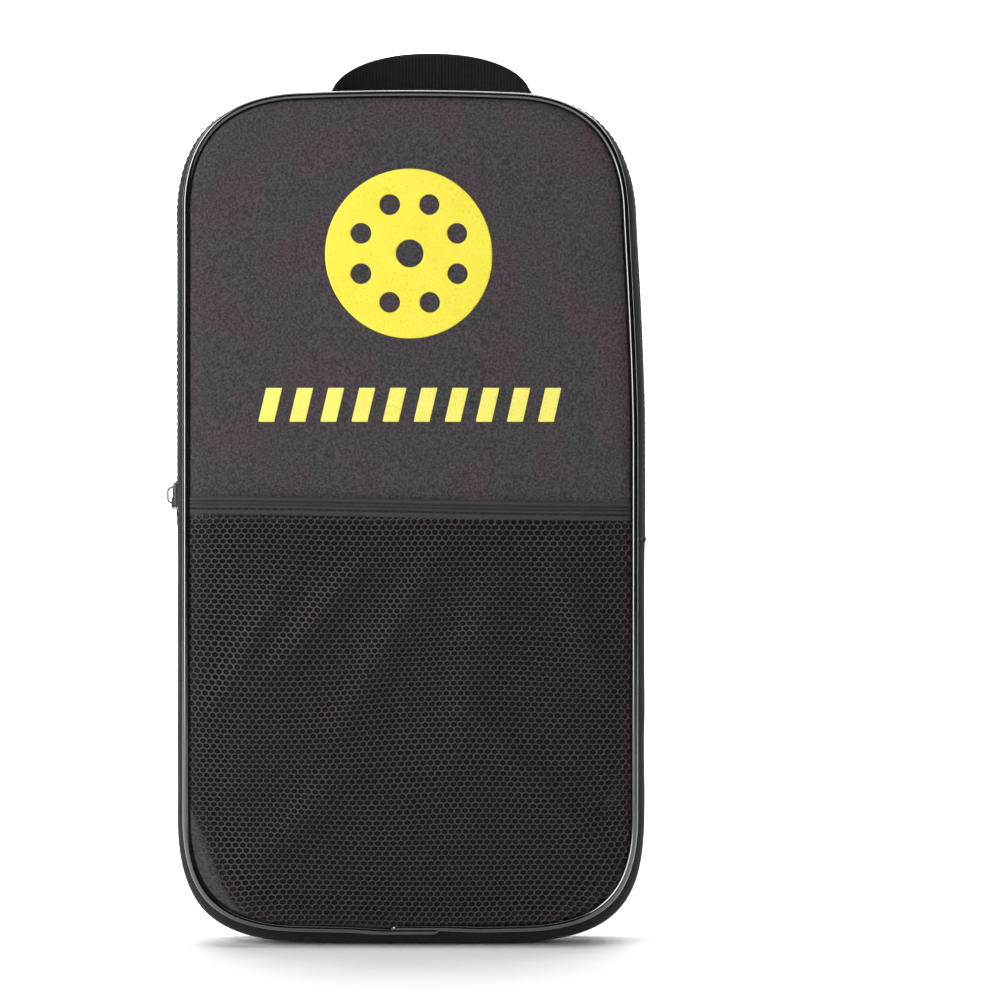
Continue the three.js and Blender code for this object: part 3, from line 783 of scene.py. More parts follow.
def panel_piece(name, side, inset, outer, inner, drop, material):
    """A closed slab with the panels' outline, from one depth to another that is less a drop."""
    fractions = [math.sin(math.pi * (share - 0.5)) for share in spread(0.0, 1.0, PANEL_COLUMNS)]
    grids = ([], [])
    coordinates = []
    for z in panel_rows(inset):
        across = [half_width(z, inset) * f for f in fractions]
        grids[0].append([settle(x, side * outer(x, z), z) for x in across])
        grids[1].append([settle(x, side * (inner(x, z) - drop), z) for x in across])
        coordinates.append([(x, z) for x in across])
    return grid_body(name, *grids, coordinates, material)


def foam_depth(x, z):
    rim = max(rim_distance(x, z) - PADDING_INSET, 0)
    rounded_rim = 1 - (1 - clamp(rim / (3 * MM))) ** 2
    thickness = skin_depth(x, z) - FABRIC - GAP - LINING_Y - GAP
    return LINING_Y + GAP + thickness * (0.35 + 0.65 * rounded_rim)


def lining_depth(x, z):
    rim = max(rim_distance(x, z) - PADDING_INSET, 0)
    wave = 0.5 * MM * noise.noise(Vector((x * 22, 3, z * 22))) * smooth(rim / (20 * MM))
    return LINING_Y - abs(wave)


def paint_net_shade(skin):
    """Marks the cloth that lies behind the net, where its colour is darkened as painted shading."""
    mesh = skin.data
    marks = mesh.color_attributes.new("net_shade", "FLOAT_COLOR", "CORNER")
    for corner, place in zip(marks.data, mesh.uv_layers["cloth"].data):
        x, z = place.uv
        past_edge = rim_distance(x, z) - net_inset(x, z)
        below_mouth = NET_TOP + mouth_drop(x) - z
        share = smooth(min(past_edge, below_mouth) / (2 * MM) + 0.5)
        corner.color = (*grey(share), 1)


def build_panels():
    for face, side, body, sources in FACES:
        look = FRONT_LOOK if side < 0 else FABRIC_LOOK
        layers = (
            ("skin", "fabric", PANEL_INSET, skin_depth, skin_depth, FABRIC, look),
            ("pad", "foam", PADDING_INSET, foam_depth, lining_depth, -0.2 * MM, FOAM_LOOK),
            ("lining_cloth", "lining", PADDING_INSET, lining_depth, lining_depth, LINING, LINING_LOOK),
        )
        made = {}
        for name, node, inset, outer, inner, drop, material in layers:
            piece = panel_piece(f"{face}_{name}", side, inset, outer, inner, drop, material)
            made[name] = finish_piece(piece, body, *(source + node for source in sources))
        if side < 0:
            paint_net_shade(made["skin"])


# ---- piping and seam bindings ----

PIPING_JOIN = (-10 * MM, 14 * MM)  # the ends of a piping pass each other under the base
JOIN_SPREAD = 0.9 * MM
JOIN_THIN = 0.86  # the two ends are pressed thinner where they pass
BINDING_WIDTH = 2.5 * MM


def piping_ring(way, y, radius, shift):
    spots = [(shift + radius * math.cos(a), y + radius * math.sin(a)) for a in turns(14)]
    return [seam_point(way, offset, depth) for offset, depth in spots]


def build_piping():
    """Glossy cords round both seams. The two ends of each overlap at the bottom."""
    start, end = PIPING_JOIN
    path = ways(start, SEAM_LENGTH + end, 2.4 * MM)
    for face, side, body, sources in FACES:
        rings = []
        for i, way in enumerate(path):
            from_start = (way - start) / (end - start)
            from_end = (SEAM_LENGTH + end - way) / (end - start)
            shift = JOIN_SPREAD * (smooth(2 - from_end) - smooth(2 - from_start))
            radius = PIPING_RADIUS * (JOIN_THIN if min(from_start, from_end) < 1 else 1.0)
            radius *= 0.5 if i in (0, len(path) - 1) else 1.0
            rings.append(piping_ring(way, side * PIPING_Y, radius, shift))
        cord = loft(face + "_piping_cord", rings, PIPING_LOOK)
        finish_piece(cord, body, *(source + "piping" for source in sources))


def build_seam_bindings():
    """The ribbons that wrap the raw edges inside both seams."""
    outer = -(FABRIC + GAP)
    low = LINING_Y - LINING + GAP
    high = GUSSET_EDGE - GAP
    centre = 0.5 * (low + high)
    half = BINDING_WIDTH / 2
    for face, side, body, sources in FACES:
        section = []
        for angle in turns(12):
            across = math.copysign(abs(math.cos(angle)) ** 0.5, math.cos(angle))
            along = math.copysign(abs(math.sin(angle)) ** 0.5, math.sin(angle))
            section.append((outer - half + half * across, side * (centre + (high - low) / 2 * along)))
        path = ways(0, SEAM_LENGTH, 4 * MM)[:-1]
        ribbon = sweep(face + "_seam_ribbon", section, path, RIBBON_LOOK, closed=True)
        finish_piece(ribbon, body, *(source + "seam_binding" for source in sources))


# ---- stitches ----

# Along a stitch: how far along it, as a share of its length, and its rise and thickness in thread radii.
STITCH = ((-0.5, -0.5, 0.5), (-0.38, 0.35, 0.9), (0.0, 0.7, 1.0), (0.38, 0.35, 0.9), (0.5, -0.5, 0.5))
STITCH_PITCH = 3.4 * MM


def build_stitches(name, body, places, radius=0.26 * MM, length=2.5 * MM):
    """Short proud threads. Each place is (point, direction along, direction out)."""
    threads = []
    for point, along, out in places:
        beside = along.cross(out).normalized()
        rings = []
        for share, rise, thick in STITCH:
            centre = point + along * (length * share) + out * (radius * rise)
            spokes = [beside * math.cos(a) + out * math.sin(a) for a in turns(6)]
            rings.append([centre + spoke * radius * thick for spoke in spokes])
        threads.append(rings)
    lengths = [share * length for share, _, _ in STITCH]
    finish_piece(rods(name, threads, lengths, radius, THREAD_LOOK), body)


def gusset_stitches(y):
    """Places of a row of stitches beside the zip, at depth y."""
    places = []
    for way in ways(RIGHT_WAY, LEFT_WAY, STITCH_PITCH)[:-1]:
        way += STITCH_PITCH / 2
        offset = gusset_offset(way, y)
        point = seam_point(way, offset, y)
        along = seam_point(way + MM, offset, y) - point
        out = seam_point(way, offset + MM, y) - point
        places.append((point, along.normalized(), out.normalized()))
    return places


# ---- the gusset and its zip ----

STRIP_TUCK = 5 * MM  # the zip's strips run on under the lower gusset
STRIP_THICKEST = 1.05 * MM
STITCH_ROWS = (6.4 * MM, 10.2 * MM)  # from the middle of the zip
PATCH_HALF = 6.4 * MM
PATCH_LENGTH = 5 * MM
# Along a turn of the coil, in millimetres: distance past the middle of the zip, half width, half height.
TOOTH = (
    (-0.32, 0.10, 0.35), (-0.20, 0.27, 0.75), (0.35, 0.31, 0.95),
    (0.9, 0.40, 1.0), (2.5, 0.42, 1.0), (3.0, 0.20, 0.5),
)
LEFT_WAY = on_left(ZIP_LEFT)
RIGHT_WAY = on_right(ZIP_RIGHT)


def strip_section(side):
    """A strip beside the zip, from the seam to its folded edge, which is twice as thick."""
    depths = spread(GUSSET_EDGE, ZIP_EDGE + 0.5 * MM, 14)

    def thickness(y):
        return FABRIC + 0.5 * MM * smooth((ZIP_EDGE + 8 * MM - y) / (2 * MM))

    def at(way):
        below = min(way - RIGHT_WAY, LEFT_WAY - way)
        tuck = 0.9 * MM * smooth(1 - below / (2 * MM)) if below < 2 * MM else 0.0
        outer = [(gusset_offset(way, y) - tuck, side * y) for y in depths]
        edge = gusset_offset(way, ZIP_EDGE) - tuck
        round_edge = [
            (edge - 0.35 * thickness(ZIP_EDGE), side * (ZIP_EDGE + 0.1 * MM)),
            (edge - 0.7 * thickness(ZIP_EDGE), side * (ZIP_EDGE + 0.15 * MM)),
        ]
        inner = []
        for y in reversed(depths):
            inner.append((gusset_offset(way, y) - tuck - min(thickness(y), STRIP_THICKEST), side * y))
        return outer + round_edge + inner

    return at


def build_teeth(name, side, phase):
    """A row of coil turns, each a rounded bar from the tape to just past the middle of the zip."""
    core = GUSSET_BULGE + TEETH_PROUD - 1.0 * MM
    coil = []
    for k in range(int((LEFT_WAY - RIGHT_WAY) / TEETH_PITCH)):
        way = RIGHT_WAY + (k + 0.5 + phase) * TEETH_PITCH
        rings = []
        for y, along, out in TOOTH:
            centre = way + 0.22 * MM * y / 3
            rings.append([])
            for a in turns(8):
                offset = core + out * MM * math.sin(a)
                rings[-1].append(seam_point(centre + along * MM * math.cos(a), offset, side * y * MM))
        coil.append(rings)
    return rods(name, coil, [y * MM for y, _, _ in TOOTH], 0.3 * MM, TEETH_LOOK)


def patch_section(way):
    """A patch over the end of the zip, raised in the middle where it covers the last teeth."""
    depths = spread(-PATCH_HALF, PATCH_HALF, 16)
    past_end = max(RIGHT_WAY - way, way - LEFT_WAY)
    over_teeth = 1 - smooth(past_end / (1.5 * MM))
    outer = []
    for y in depths:
        rise = 0.35 * MM + 0.75 * MM * over_teeth * smooth((4.2 * MM - abs(y)) / (1.4 * MM))
        outer.append((gusset_offset(way, y) + rise, y))
    return outer + [(gusset_offset(way, y) - 0.9 * MM, y) for y in reversed(depths)]


def build_lower_gusset():
    run = ways(LEFT_WAY + GAP, SEAM_LENGTH + RIGHT_WAY - GAP, 3 * MM)
    inside = LINING_Y - LINING - GAP
    layers = (
        ("fabric", "cloth", GUSSET_EDGE, 0, FABRIC, GUSSET_SHADED_LOOK, 28),
        ("foam", "pad", inside, 1.1 * MM, 3.1 * MM, FOAM_LOOK, 20),
        ("lining", "lining_cloth", inside, 3.4 * MM, 3.9 * MM, LINING_LOOK, 20),
    )
    for node, name, edge, top, under, material, steps in layers:
        piece = sweep("lower_gusset_" + name, gusset_layer(-edge, edge, top, under, steps), run, material)
        finish_piece(piece, "case", "lower_gusset_" + node)


def zip_nodes(side, part):
    """The solids that a part of one side of the zip stands for."""
    if side > 0:
        return ["rear_zip_" + part]
    return ["flap_zip_" + part] + [f"front_{part}_end_{end}" for end in ("left", "right")]


def build_zip():
    strip_path = ways(RIGHT_WAY - STRIP_TUCK, LEFT_WAY + STRIP_TUCK, 2.5 * MM)
    tape_path = ways(RIGHT_WAY, LEFT_WAY, 3 * MM)
    for prefix, side, body in (("rear", 1, "case"), ("front", -1, None)):
        strip = sweep(prefix + "_zip_strip", strip_section(side), strip_path, GUSSET_SHADED_LOOK)
        finish_piece(strip, body, *zip_nodes(side, "gusset"))
        tape_section = gusset_layer(side * 0.9 * MM, side * TAPE_END, 1.15 * MM, 1.65 * MM, 8)
        tape = sweep(prefix + "_tape", tape_section, tape_path, TAPE_LOOK)
        finish_piece(tape, body, *zip_nodes(side, "tape"))
        row = build_teeth(prefix + "_coil", side, 0.0 if side > 0 else 0.5)
        finish_piece(row, body, *zip_nodes(side, "teeth"))
        sewn = [place for y in STITCH_ROWS for place in gusset_stitches(side * y)]
        build_stitches(prefix + "_zip_stitches", body, sewn)


def build_zip_stops():
    """The patches sewn over both ends of the zip."""
    for name, way, sign in (("zip_stop_left", LEFT_WAY, 1), ("zip_stop_right", RIGHT_WAY, -1)):
        path = [way + sign * past for past in spread(-1.6 * MM, PATCH_LENGTH, 8)]
        patch = sweep(name + "_patch", patch_section, path, RIBBON_LOOK)
        finish_piece(patch, "case", name)
        places = []
        for share in (0.2, 0.5, 0.8):
            at = way + sign * PATCH_LENGTH * share
            for y in (-4.6, -2.3, 0, 2.3, 4.6):
                offset = gusset_offset(at, y * MM) + 0.3 * MM
                point = seam_point(at, offset, y * MM)
                out = seam_point(at, offset + MM, y * MM) - point
                places.append((point, Vector((0, 1, 0)), out.normalized()))
        build_stitches(name + "_stitches", "case", places, 0.18 * MM, 1.9 * MM)


# ---- printed marks ----


def filled_shape(inside, low, high, pitch):
    """Points and faces of a flat shape, cut from a square grid where inside(x, z) is above zero."""
    columns = math.ceil((high[0] - low[0]) / pitch) + 1
    rows = math.ceil((high[1] - low[1]) / pitch) + 1
    spots = {}
    points = []
    faces = []

    def spot(key, x, z):
        if key not in spots:
            spots[key] = len(points)
            points.append((x, z))
        return spots[key]

    value = {}
    for i in range(columns + 1):
        for j in range(rows + 1):
            x = low[0] + i * pitch
            z = low[1] + j * pitch
            value[i, j] = (x, z, inside(x, z))
    for i in range(columns):
        for j in range(rows):
            corners = [(i, j), (i + 1, j), (i + 1, j + 1), (i, j + 1)]
            face = []
            for k in range(4):
                a = corners[k]
                b = corners[(k + 1) % 4]
                ax, az, av = value[a]
                bx, bz, bv = value[b]
                if av > 0:
                    face.append(spot(a, ax, az))
                if (av > 0) != (bv > 0):
                    t = av / (av - bv)
                    face.append(spot(tuple(sorted((a, b))), mix(ax, bx, t), mix(az, bz, t)))
            if len(face) > 2:
                faces.append(tuple(face))
    return points, faces


def print_piece(name, node, inside, margin, pitch, material):
    """A thin film of ink that lies on the flap's cloth."""
    low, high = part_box(node)
    start = (low[0] - margin, low[2] - margin)
    end = (high[0] + margin, high[2] + margin)
    flat, faces = filled_shape(inside, start, end, pitch)

    def place(x, z, film):
        return settle(x, -(skin_depth(x, z) + film), z)

    ink = flat_slab(name, flat, faces, place, (0.12 * MM, 0.01 * MM), material)
    finish_piece(ink, "flap", node)


DISC_CENTRE_HOLE = 7 * MM
DISC_RING_RADIUS = 26.5 * MM
DISC_RING_HOLE = 5.2 * MM
DISC_RING_COUNT = 8
BAR_SLANT = 4 * MM


def build_disc():
    low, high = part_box("print_disc")
    centre_x, _, centre_z = middle(low, high)
    radius = (high[0] - low[0]) / 2
    holes = [(centre_x, centre_z, DISC_CENTRE_HOLE)]
    for angle in turns(DISC_RING_COUNT, 0.5):
        x = centre_x + DISC_RING_RADIUS * math.cos(angle)
        z = centre_z + DISC_RING_RADIUS * math.sin(angle)
        holes.append((x, z, DISC_RING_HOLE))

    def inside(x, z):
        from_rim = radius - math.hypot(x - centre_x, z - centre_z)
        return min(from_rim, *(math.hypot(x - hx, z - hz) - r for hx, hz, r in holes))

    print_piece("disc_print", "print_disc", inside, 0.0, 1.0 * MM, DISC_LOOK)


def build_bar(node):
    low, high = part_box(node)
    middle_x, _, middle_z = middle(low, high)
    tall = high[2] - low[2]
    half = (high[0] - low[0] - BAR_SLANT) / 2

    def inside(x, z):
        upright = x - middle_x - BAR_SLANT * (z - middle_z) / tall
        return min(half - abs(upright), tall / 2 - abs(z - middle_z))

    print_piece(node.replace("print_bar", "bar_print"), node, inside, 0.5 * MM, 0.5 * MM, BAR_LOOK)


def build_prints():
    build_disc()
    for node in sorted(name for name in frame["nodes"] if name.startswith("print_bar_")):
        build_bar(node)


# ---- the mesh pocket ----

NET_PITCH = 3.65 * MM  # across a row of holes
NET_ROW = 2.6 * MM  # from row to row
NET_HOLE = 0.79  # a hole's size as a share of its cell
NET_THICKNESS = 0.45 * MM
NET_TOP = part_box("mesh_pocket")[1][2]
NET_INSET = 1.2 * MM
NET_STANDOFF = 3.2 * MM
NET_LEAST = 0.4 * MM  # the net never comes nearer to the cloth than this
NET_RISE_RUN = 30 * MM
NET_DRIFT = 3 * MM
MOUTH_HIGH = 1.0 * MM
MOUTH_FALL = 3.2 * MM

# Soft folds of the net: (x, z) of both ends, width and height.
NET_FOLDS = (
    ((-15, 205), (-75, 130), 7, 3.4),
    ((20, 208), (-35, 110), 8, 3.0),
    ((45, 200), (20, 90), 10, 2.6),
    ((-60, 190), (-98, 120), 6, 2.8),
    ((70, 205), (95, 130), 7, 2.6),
    ((30, 120), (92, 50), 7, 2.8),
    ((-30, 90), (-80, 40), 8, 2.4),
)
# The crease at the lower right, where the net is pinched towards the corner.
NET_CREASE = ((106, 84), (88, 56), 4.5, -1.6)
# At the lower left the net was cut short, and a crescent of the cloth behind it shows.
SHORT_FROM = 10 * MM
SHORT_TO = 72 * MM
SHORT_BY = 9 * MM


def ridge(x, z, ends_a, ends_b, width, height):
    """Height of a soft ridge at a point. Its ends, width and height are in millimetres."""
    a = Vector(ends_a) * MM
    b = Vector(ends_b) * MM
    way = b - a
    t = clamp((Vector((x, z)) - a).dot(way) / way.length_squared)
    away = (Vector((x, z)) - (a + way * t)).length / (width * MM)
    return height * MM * math.exp(-away * away) * (0.35 + 0.65 * math.sin(math.pi * clamp(t, 0.05, 0.95)))


def net_inset(x, z):
    """How far inside the seam the net's sewn edge lies."""
    at_left = smooth((-x - 60 * MM) / (40 * MM))
    along = clamp((z - SHORT_FROM) / (SHORT_TO - SHORT_FROM))
    return NET_INSET + SHORT_BY * (at_left * math.sin(math.pi * along))


def net_depth(x, z):
    """Depth of the net's outer face at a point of the front."""
    rim = max(rim_distance(x, z) - net_inset(x, z), 0)
    from_top = clamp((NET_TOP - z) / (60 * MM))
    stand = 0.45 * MM + NET_STANDOFF * smooth(rim / NET_RISE_RUN) * (0.45 + 0.55 * smooth(from_top))
    free = smooth(rim / (14 * MM))
    folds = sum(ridge(x, z, *fold) for fold in NET_FOLDS) * smooth(0.2 + from_top) * free
    crease = ridge(x, z, *NET_CREASE) * free
    wave = 0.3 * MM * noise.noise(Vector((x * 30, 1, z * 30))) * free
    return skin_depth(x, z) + max(stand + folds + crease + wave, NET_LEAST)


def mouth_drop(x):
    """The pocket's mouth runs a little downhill to the right."""
    return MOUTH_HIGH - MOUTH_FALL * smooth((x / SEAM_HALF + 1) / 2)


def net_drift(u, v):
    """The knit is pulled a little out of square."""
    shift_x = NET_DRIFT * noise.noise(Vector((u * 13, v * 13, 11)))
    shift_z = NET_DRIFT * noise.noise(Vector((u * 13, v * 13, 23)))
    return u + shift_x, v + shift_z


def onto_net(x, z):
    """Moves a point that lies past the net's edge onto that edge."""
    z = min(z, NET_TOP + mouth_drop(x) + 1 * MM)
    for _ in range(4):
        over = net_inset(x, z) - rim_distance(x, z)
        if over <= 0:
            break
        step = 0.1 * MM
        away_x = rim_distance(x + step, z) - rim_distance(x - step, z)
        away_z = rim_distance(x, z + step) - rim_distance(x, z - step)
        steep = math.hypot(away_x, away_z) or 1.0
        x += over * away_x / steep
        z += over * away_z / steep
    return x, z


def build_net():
    points = []
    faces = []
    uvs = []
    flat = []
    spots = {}

    def vertex(u, v, raised):
        key = (round(u / MM * 50), round(v / MM * 50), raised)
        if key not in spots:
            spots[key] = len(points)
            x, z = onto_net(*net_drift(u, v))
            depth = net_depth(x, z) + (0.16 * MM if raised else 0)
            points.append(settle(x, -depth, z))
            flat.append((u, v))
        return spots[key]

    rows = int((NET_TOP - SEAM_LOW) / NET_ROW) + 3
    columns = int(SEAM_HALF / NET_PITCH) + 2
    for row in range(-1, rows):
        for column in range(-columns, columns + 1):
            u = (column + 0.5 * (row % 2)) * NET_PITCH
            v = SEAM_LOW + row * NET_ROW
            x, z = net_drift(u, v)
            if rim_distance(x, z) < net_inset(x, z) - 0.8 * MM or z > NET_TOP + mouth_drop(x) + 2.2 * MM:
                continue
            outer = []
            hole = []
            for k in range(6):
                angle = math.radians(60 * k + 30)
                du = NET_PITCH / math.sqrt(3) * math.cos(angle)
                dv = NET_ROW * 2 / 3 * math.sin(angle)
                outer.append(vertex(u + du, v + dv, True))
                hole.append((u + du * NET_HOLE, v + dv * NET_HOLE))
            hole = [vertex(a, b, False) for a, b in hole]
            for k in range(6):
                m = (k + 1) % 6
                face = (outer[k], outer[m], hole[m], hole[k])
                if len(set(face)) == 4:
                    faces.append(face)
                    uvs += [flat[i] for i in face]
    net = make_piece("pocket_net", points, faces, uvs, NET_LOOK)
    bm = bmesh.new()
    bm.from_mesh(net.data)
    bmesh.ops.dissolve_degenerate(bm, dist=0.02 * MM, edges=bm.edges)
    for face in bm.faces:
        if face.normal.y > 0:
            face.normal_flip()
    bm.to_mesh(net.data)
    bm.free()
    # The knit is given its thickness last, towards the cloth.
    solid = net.modifiers.new("thickness", "SOLIDIFY")
    solid.thickness = NET_THICKNESS
    solid.offset = -1
    apply_modifiers(net)
    finish_piece(net, "case", "mesh_pocket")


# Up the binding: how far up, as a share of its height, and how far it stands out, in millimetres.
MOUTH_PROFILE = (
    (0.0, 0.1), (0.02, 0.5), (0.08, 0.9), (0.18, 1.0), (0.27, 0.85), (0.31, 0.1), (0.35, 0.1),
    (0.40, 1.0), (0.47, 1.4), (0.54, 1.0), (0.57, 0.2), (0.60, 1.0), (0.66, 1.5), (0.72, 1.0),
    (0.75, 0.2), (0.78, 1.0), (0.87, 1.6), (0.95, 1.4), (0.99, 0.75), (1.0, -0.1),
)
MOUTH_STITCH_PITCH = 3.7 * MM


def build_pocket_binding():
    """The folded tape along the pocket's mouth: three smooth ridges over a stitched lower band."""
    low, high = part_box("pocket_binding")
    tall = high[2] - low[2]
    base = low[2]
    half = half_width((low[2] + high[2]) / 2, PANEL_INSET)
    columns = 110
    grids = ([], [])
    coordinates = []
    for share, proud in MOUTH_PROFILE:
        row = []
        inner = []
        marks = []
        for i in range(columns + 1):
            x = half * math.sin(math.pi * (i / columns - 0.5))
            z = base + tall * share + mouth_drop(x)
            lift = net_depth(x, min(z, NET_TOP)) - 0.3 * MM
            wave = 0.08 * MM * noise.noise(Vector((x * 120, share * 9, 5)))
            row.append(settle(x, -(lift + proud * MM + wave), z))
            inner.append(settle(x, -(lift - 0.35 * MM), z))
            marks.append((share * tall, x))
        grids[0].append(row)
        grids[1].append(inner)
        coordinates.append(marks)
    piece = grid_body("pocket_mouth_binding", *grids, coordinates, RIBBON_LOOK)
    finish_piece(piece, "case", "pocket_binding")
    places = []
    for i in range(int(2 * half / MOUTH_STITCH_PITCH)):
        x = -half + (i + 0.6) * MOUTH_STITCH_PITCH
        z = base + tall * 0.33 + mouth_drop(x)
        y = -(net_depth(x, min(z, NET_TOP)) + 0.2 * MM)
        places.append((settle(x, y, z), Vector((1, 0, 0)), Vector((0, -1, 0))))
    build_stitches("pocket_mouth_stitches", "case", places, 0.3 * MM, 2.3 * MM)


# ---- the slider and its pull ----


def rounded(piece, width, segments=2):
    bevel = piece.modifiers.new("edges", "BEVEL")
    bevel.width = width
    bevel.segments = segments
    bevel.limit_method = "ANGLE"
    return apply_modifiers(piece)


SLIDER_UNDER = 1.5 * MM  # from the gusset's outer face to the outer plate
SLIDER_PLATE = 1.1 * MM
CROWN_WIRE = 0.48 * MM
PULL_HOLE = 1.4 * MM  # half the width of the pull's eye and window


def plate_outline(widest, narrowest, half):
    """The slider's plate: broad where the two rows part, narrow where they are joined."""
    right = [(mix(narrowest, widest, smooth(i / 8 * 1.3)), mix(-half, half, i / 8)) for i in range(1, 8)]
    right = [(narrowest * 0.55, -half), (narrowest, -half * 0.86)] + right
    right += [(widest, half * 0.86), (widest * 0.6, half)]
    return right + [(-y, z) for y, z in reversed(right)]


def crown_path(crown_out):
    """The crown: a flat wire bent into a trapezoid, as (distance out, z) pairs."""
    plate = SLIDER_UNDER + SLIDER_PLATE
    lower = [
        (SLIDER_UNDER + SLIDER_PLATE * 0.5, -4.6), (plate + 0.4 * MM, -4.25),
        (crown_out - 1.9 * MM, -3.75), (crown_out - 0.95 * MM, -3.15),
        (crown_out - CROWN_WIRE, -2.3), (crown_out - CROWN_WIRE, -1.0),
    ]
    return lower + [(out, -z) for out, z in reversed(lower)]


def flat_wire(name, path, radius, material):
    """A wire along a path in the plane of X and Z, twice as wide along Y as it is thick."""
    rings = []
    for i, point in enumerate(path):
        ahead = path[min(i + 1, len(path) - 1)] - path[max(i - 1, 0)]
        beside = ahead.cross(Vector((0, 1, 0))).normalized()
        spokes = [beside * math.cos(a) + Vector((0, 2 * math.sin(a), 0)) for a in turns(10)]
        rings.append([point + spoke * radius for spoke in spokes])
    return loft(name, rings, material)


def build_slider():
    low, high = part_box("slider_body")
    face = -(SEAM_HALF + GUSSET_BULGE)
    middle_z = (low[2] + high[2]) / 2
    half = (high[2] - low[2]) / 2
    wide = high[1]
    parts = []

    def add(outline, levels, edge=0.0, segments=2):
        """Adds a body whose outline is carried through levels of (distance out, width, length)."""
        rings = []
        for out, across, along in levels:
            rings.append([Vector((face - out, y * across, middle_z + z * along)) for y, z in outline])
        part = loft("slider_part", rings, METAL_LOOK)
        parts.append(rounded(part, edge, segments) if edge else part)

    def straight(low_out, high_out):
        return (low_out, 1, 1), (high_out, 1, 1)

    plate = SLIDER_UNDER + SLIDER_PLATE
    outline = plate_outline(wide, wide * 0.80, half)
    add(outline, straight(-2.9 * MM, -1.9 * MM), 0.3 * MM, 3)
    slopes = ((SLIDER_UNDER - 0.4 * MM, 1.0, 1.1), (SLIDER_UNDER + 0.5 * MM, 0.94, 0.86))
    add(outline, (*slopes, (plate + 0.5 * MM, 0.75, 0.52)), 0.25 * MM, 3)
    tall = half * 0.8
    for side in (-1, 1):
        corners = ((wide, -tall), (wide, tall), (wide - 0.6 * MM, tall), (wide - 0.6 * MM, -tall))
        wall = [(side * y * (0.84 if z < 0 else 1.0), z) for y, z in corners]
        add(wall, straight(-0.2 * MM, SLIDER_UNDER + 0.3 * MM), 0.12 * MM)
    post = [(y * MM, half * share) for y, share in ((-0.4, 0.9), (0.4, 0.9), (0.4, 0.5), (-0.4, 0.5))]
    add(post, straight(-2.2 * MM, SLIDER_UNDER + 0.2 * MM))
    # Two low ramps carry the crown's feet.
    for end in (-1, 1):
        ramp = [(y * MM, end * z * MM) for y, z in ((-1.5, 6.3), (1.5, 6.3), (1.3, 3.2), (-1.3, 3.2))]
        add(ramp, straight(SLIDER_UNDER + SLIDER_PLATE * 0.6, plate + 0.25 * MM), 0.25 * MM)
    path = [Vector((face - out, 0, middle_z + z * MM)) for out, z in crown_path(face - low[0])]
    parts.append(flat_wire("crown", path, CROWN_WIRE, METAL_LOOK))
    finish_piece(join_pieces("zip_slider", parts), "slider", "slider_body")


def build_pull():
    """A flat tab with rounded corners, an eye round the crown's leg and a long window."""
    low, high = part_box("pull_tab")
    middle_x, _, middle_z = middle(low, high)
    thick = (high[0] - low[0]) / 2 * 0.95
    half = (high[2] - low[2]) / 2
    length = high[1] - low[1]
    neck = 2.6 * MM
    holes = ((1.2 * MM, 5.5 * MM), (11 * MM, length - 3.2 * MM))

    def half_at(t):
        """Half the tab's width, t metres from the end of its eye."""
        body = mix(neck, half, smooth((t - 6 * MM) / (2.2 * MM)))
        ends = min(t, length - t)
        return body * math.sqrt(max(0.0, 1 - (1 - clamp(ends / (1.6 * MM))) ** 2)) + 0.2 * MM

    def inside(t, z):
        solid = half_at(clamp(t, 0, length)) - abs(z)
        for start, end in holes:
            near = clamp(t, start + PULL_HOLE * 0.8, end - PULL_HOLE * 0.8)
            solid = min(solid, math.hypot(t - near, z) - PULL_HOLE)
        return min(solid, t, length - t)

    def place(t, z, x):
        return x, low[1] + t, middle_z + z

    flat, faces = filled_shape(inside, (-0.5 * MM, -half - MM), (length + 0.5 * MM, half + MM), 0.5 * MM)
    tab = flat_slab("zip_pull", flat, faces, place, (middle_x - thick, middle_x + thick), METAL_LOOK)
    finish_piece(rounded(tab, 0.18 * MM), "pull", "pull_tab")


# ---- the handle ----

HANDLE = next(j for j in frame["joints"] if j["name"] == "handle_lean")
WEBBING_WIDTH = 25.4 * MM
WEBBING_THICKNESS = 1.8 * MM
HANDLE_HALF = 51.7 * MM
HANDLE_RISE = 24 * MM
HANDLE_LEAN = 15 * MM
RIB_PITCH = 1.7 * MM
RIB_HEIGHT = 0.16 * MM
INNER_SHARE = 0.94  # the edge behind is this much shorter than the upper one
HANDLE_SWELL = 2.2  # 2 would make the upper edge an ellipse, more makes its shoulders fuller


def handle_point(x, v):
    """A point of the handle's middle surface: v is 0 on its upper edge and 1 on the edge behind."""
    across = clamp(x / HANDLE_HALF, -1, 1)
    arch = math.sqrt(1 - across * across)
    lean = math.sqrt(WEBBING_WIDTH**2 - HANDLE_RISE**2)
    rise = HANDLE_RISE * math.sqrt(1 - abs(across) ** HANDLE_SWELL)
    upper = Vector((x, (HANDLE_LEAN - lean) * arch, rise))
    inner_across = clamp(x / (HANDLE_HALF * INNER_SHARE), -1, 1)
    inner_arch = math.sqrt(1 - inner_across * inner_across)
    lower = Vector((x, HANDLE_LEAN * inner_arch + 1.5 * MM * (1 - inner_arch), 0.7 * MM * inner_arch))
    belly = Vector((0, -1, 0.6)) * 1.2 * MM * math.sin(math.pi * v) * arch
    return upper.lerp(lower, v) + belly


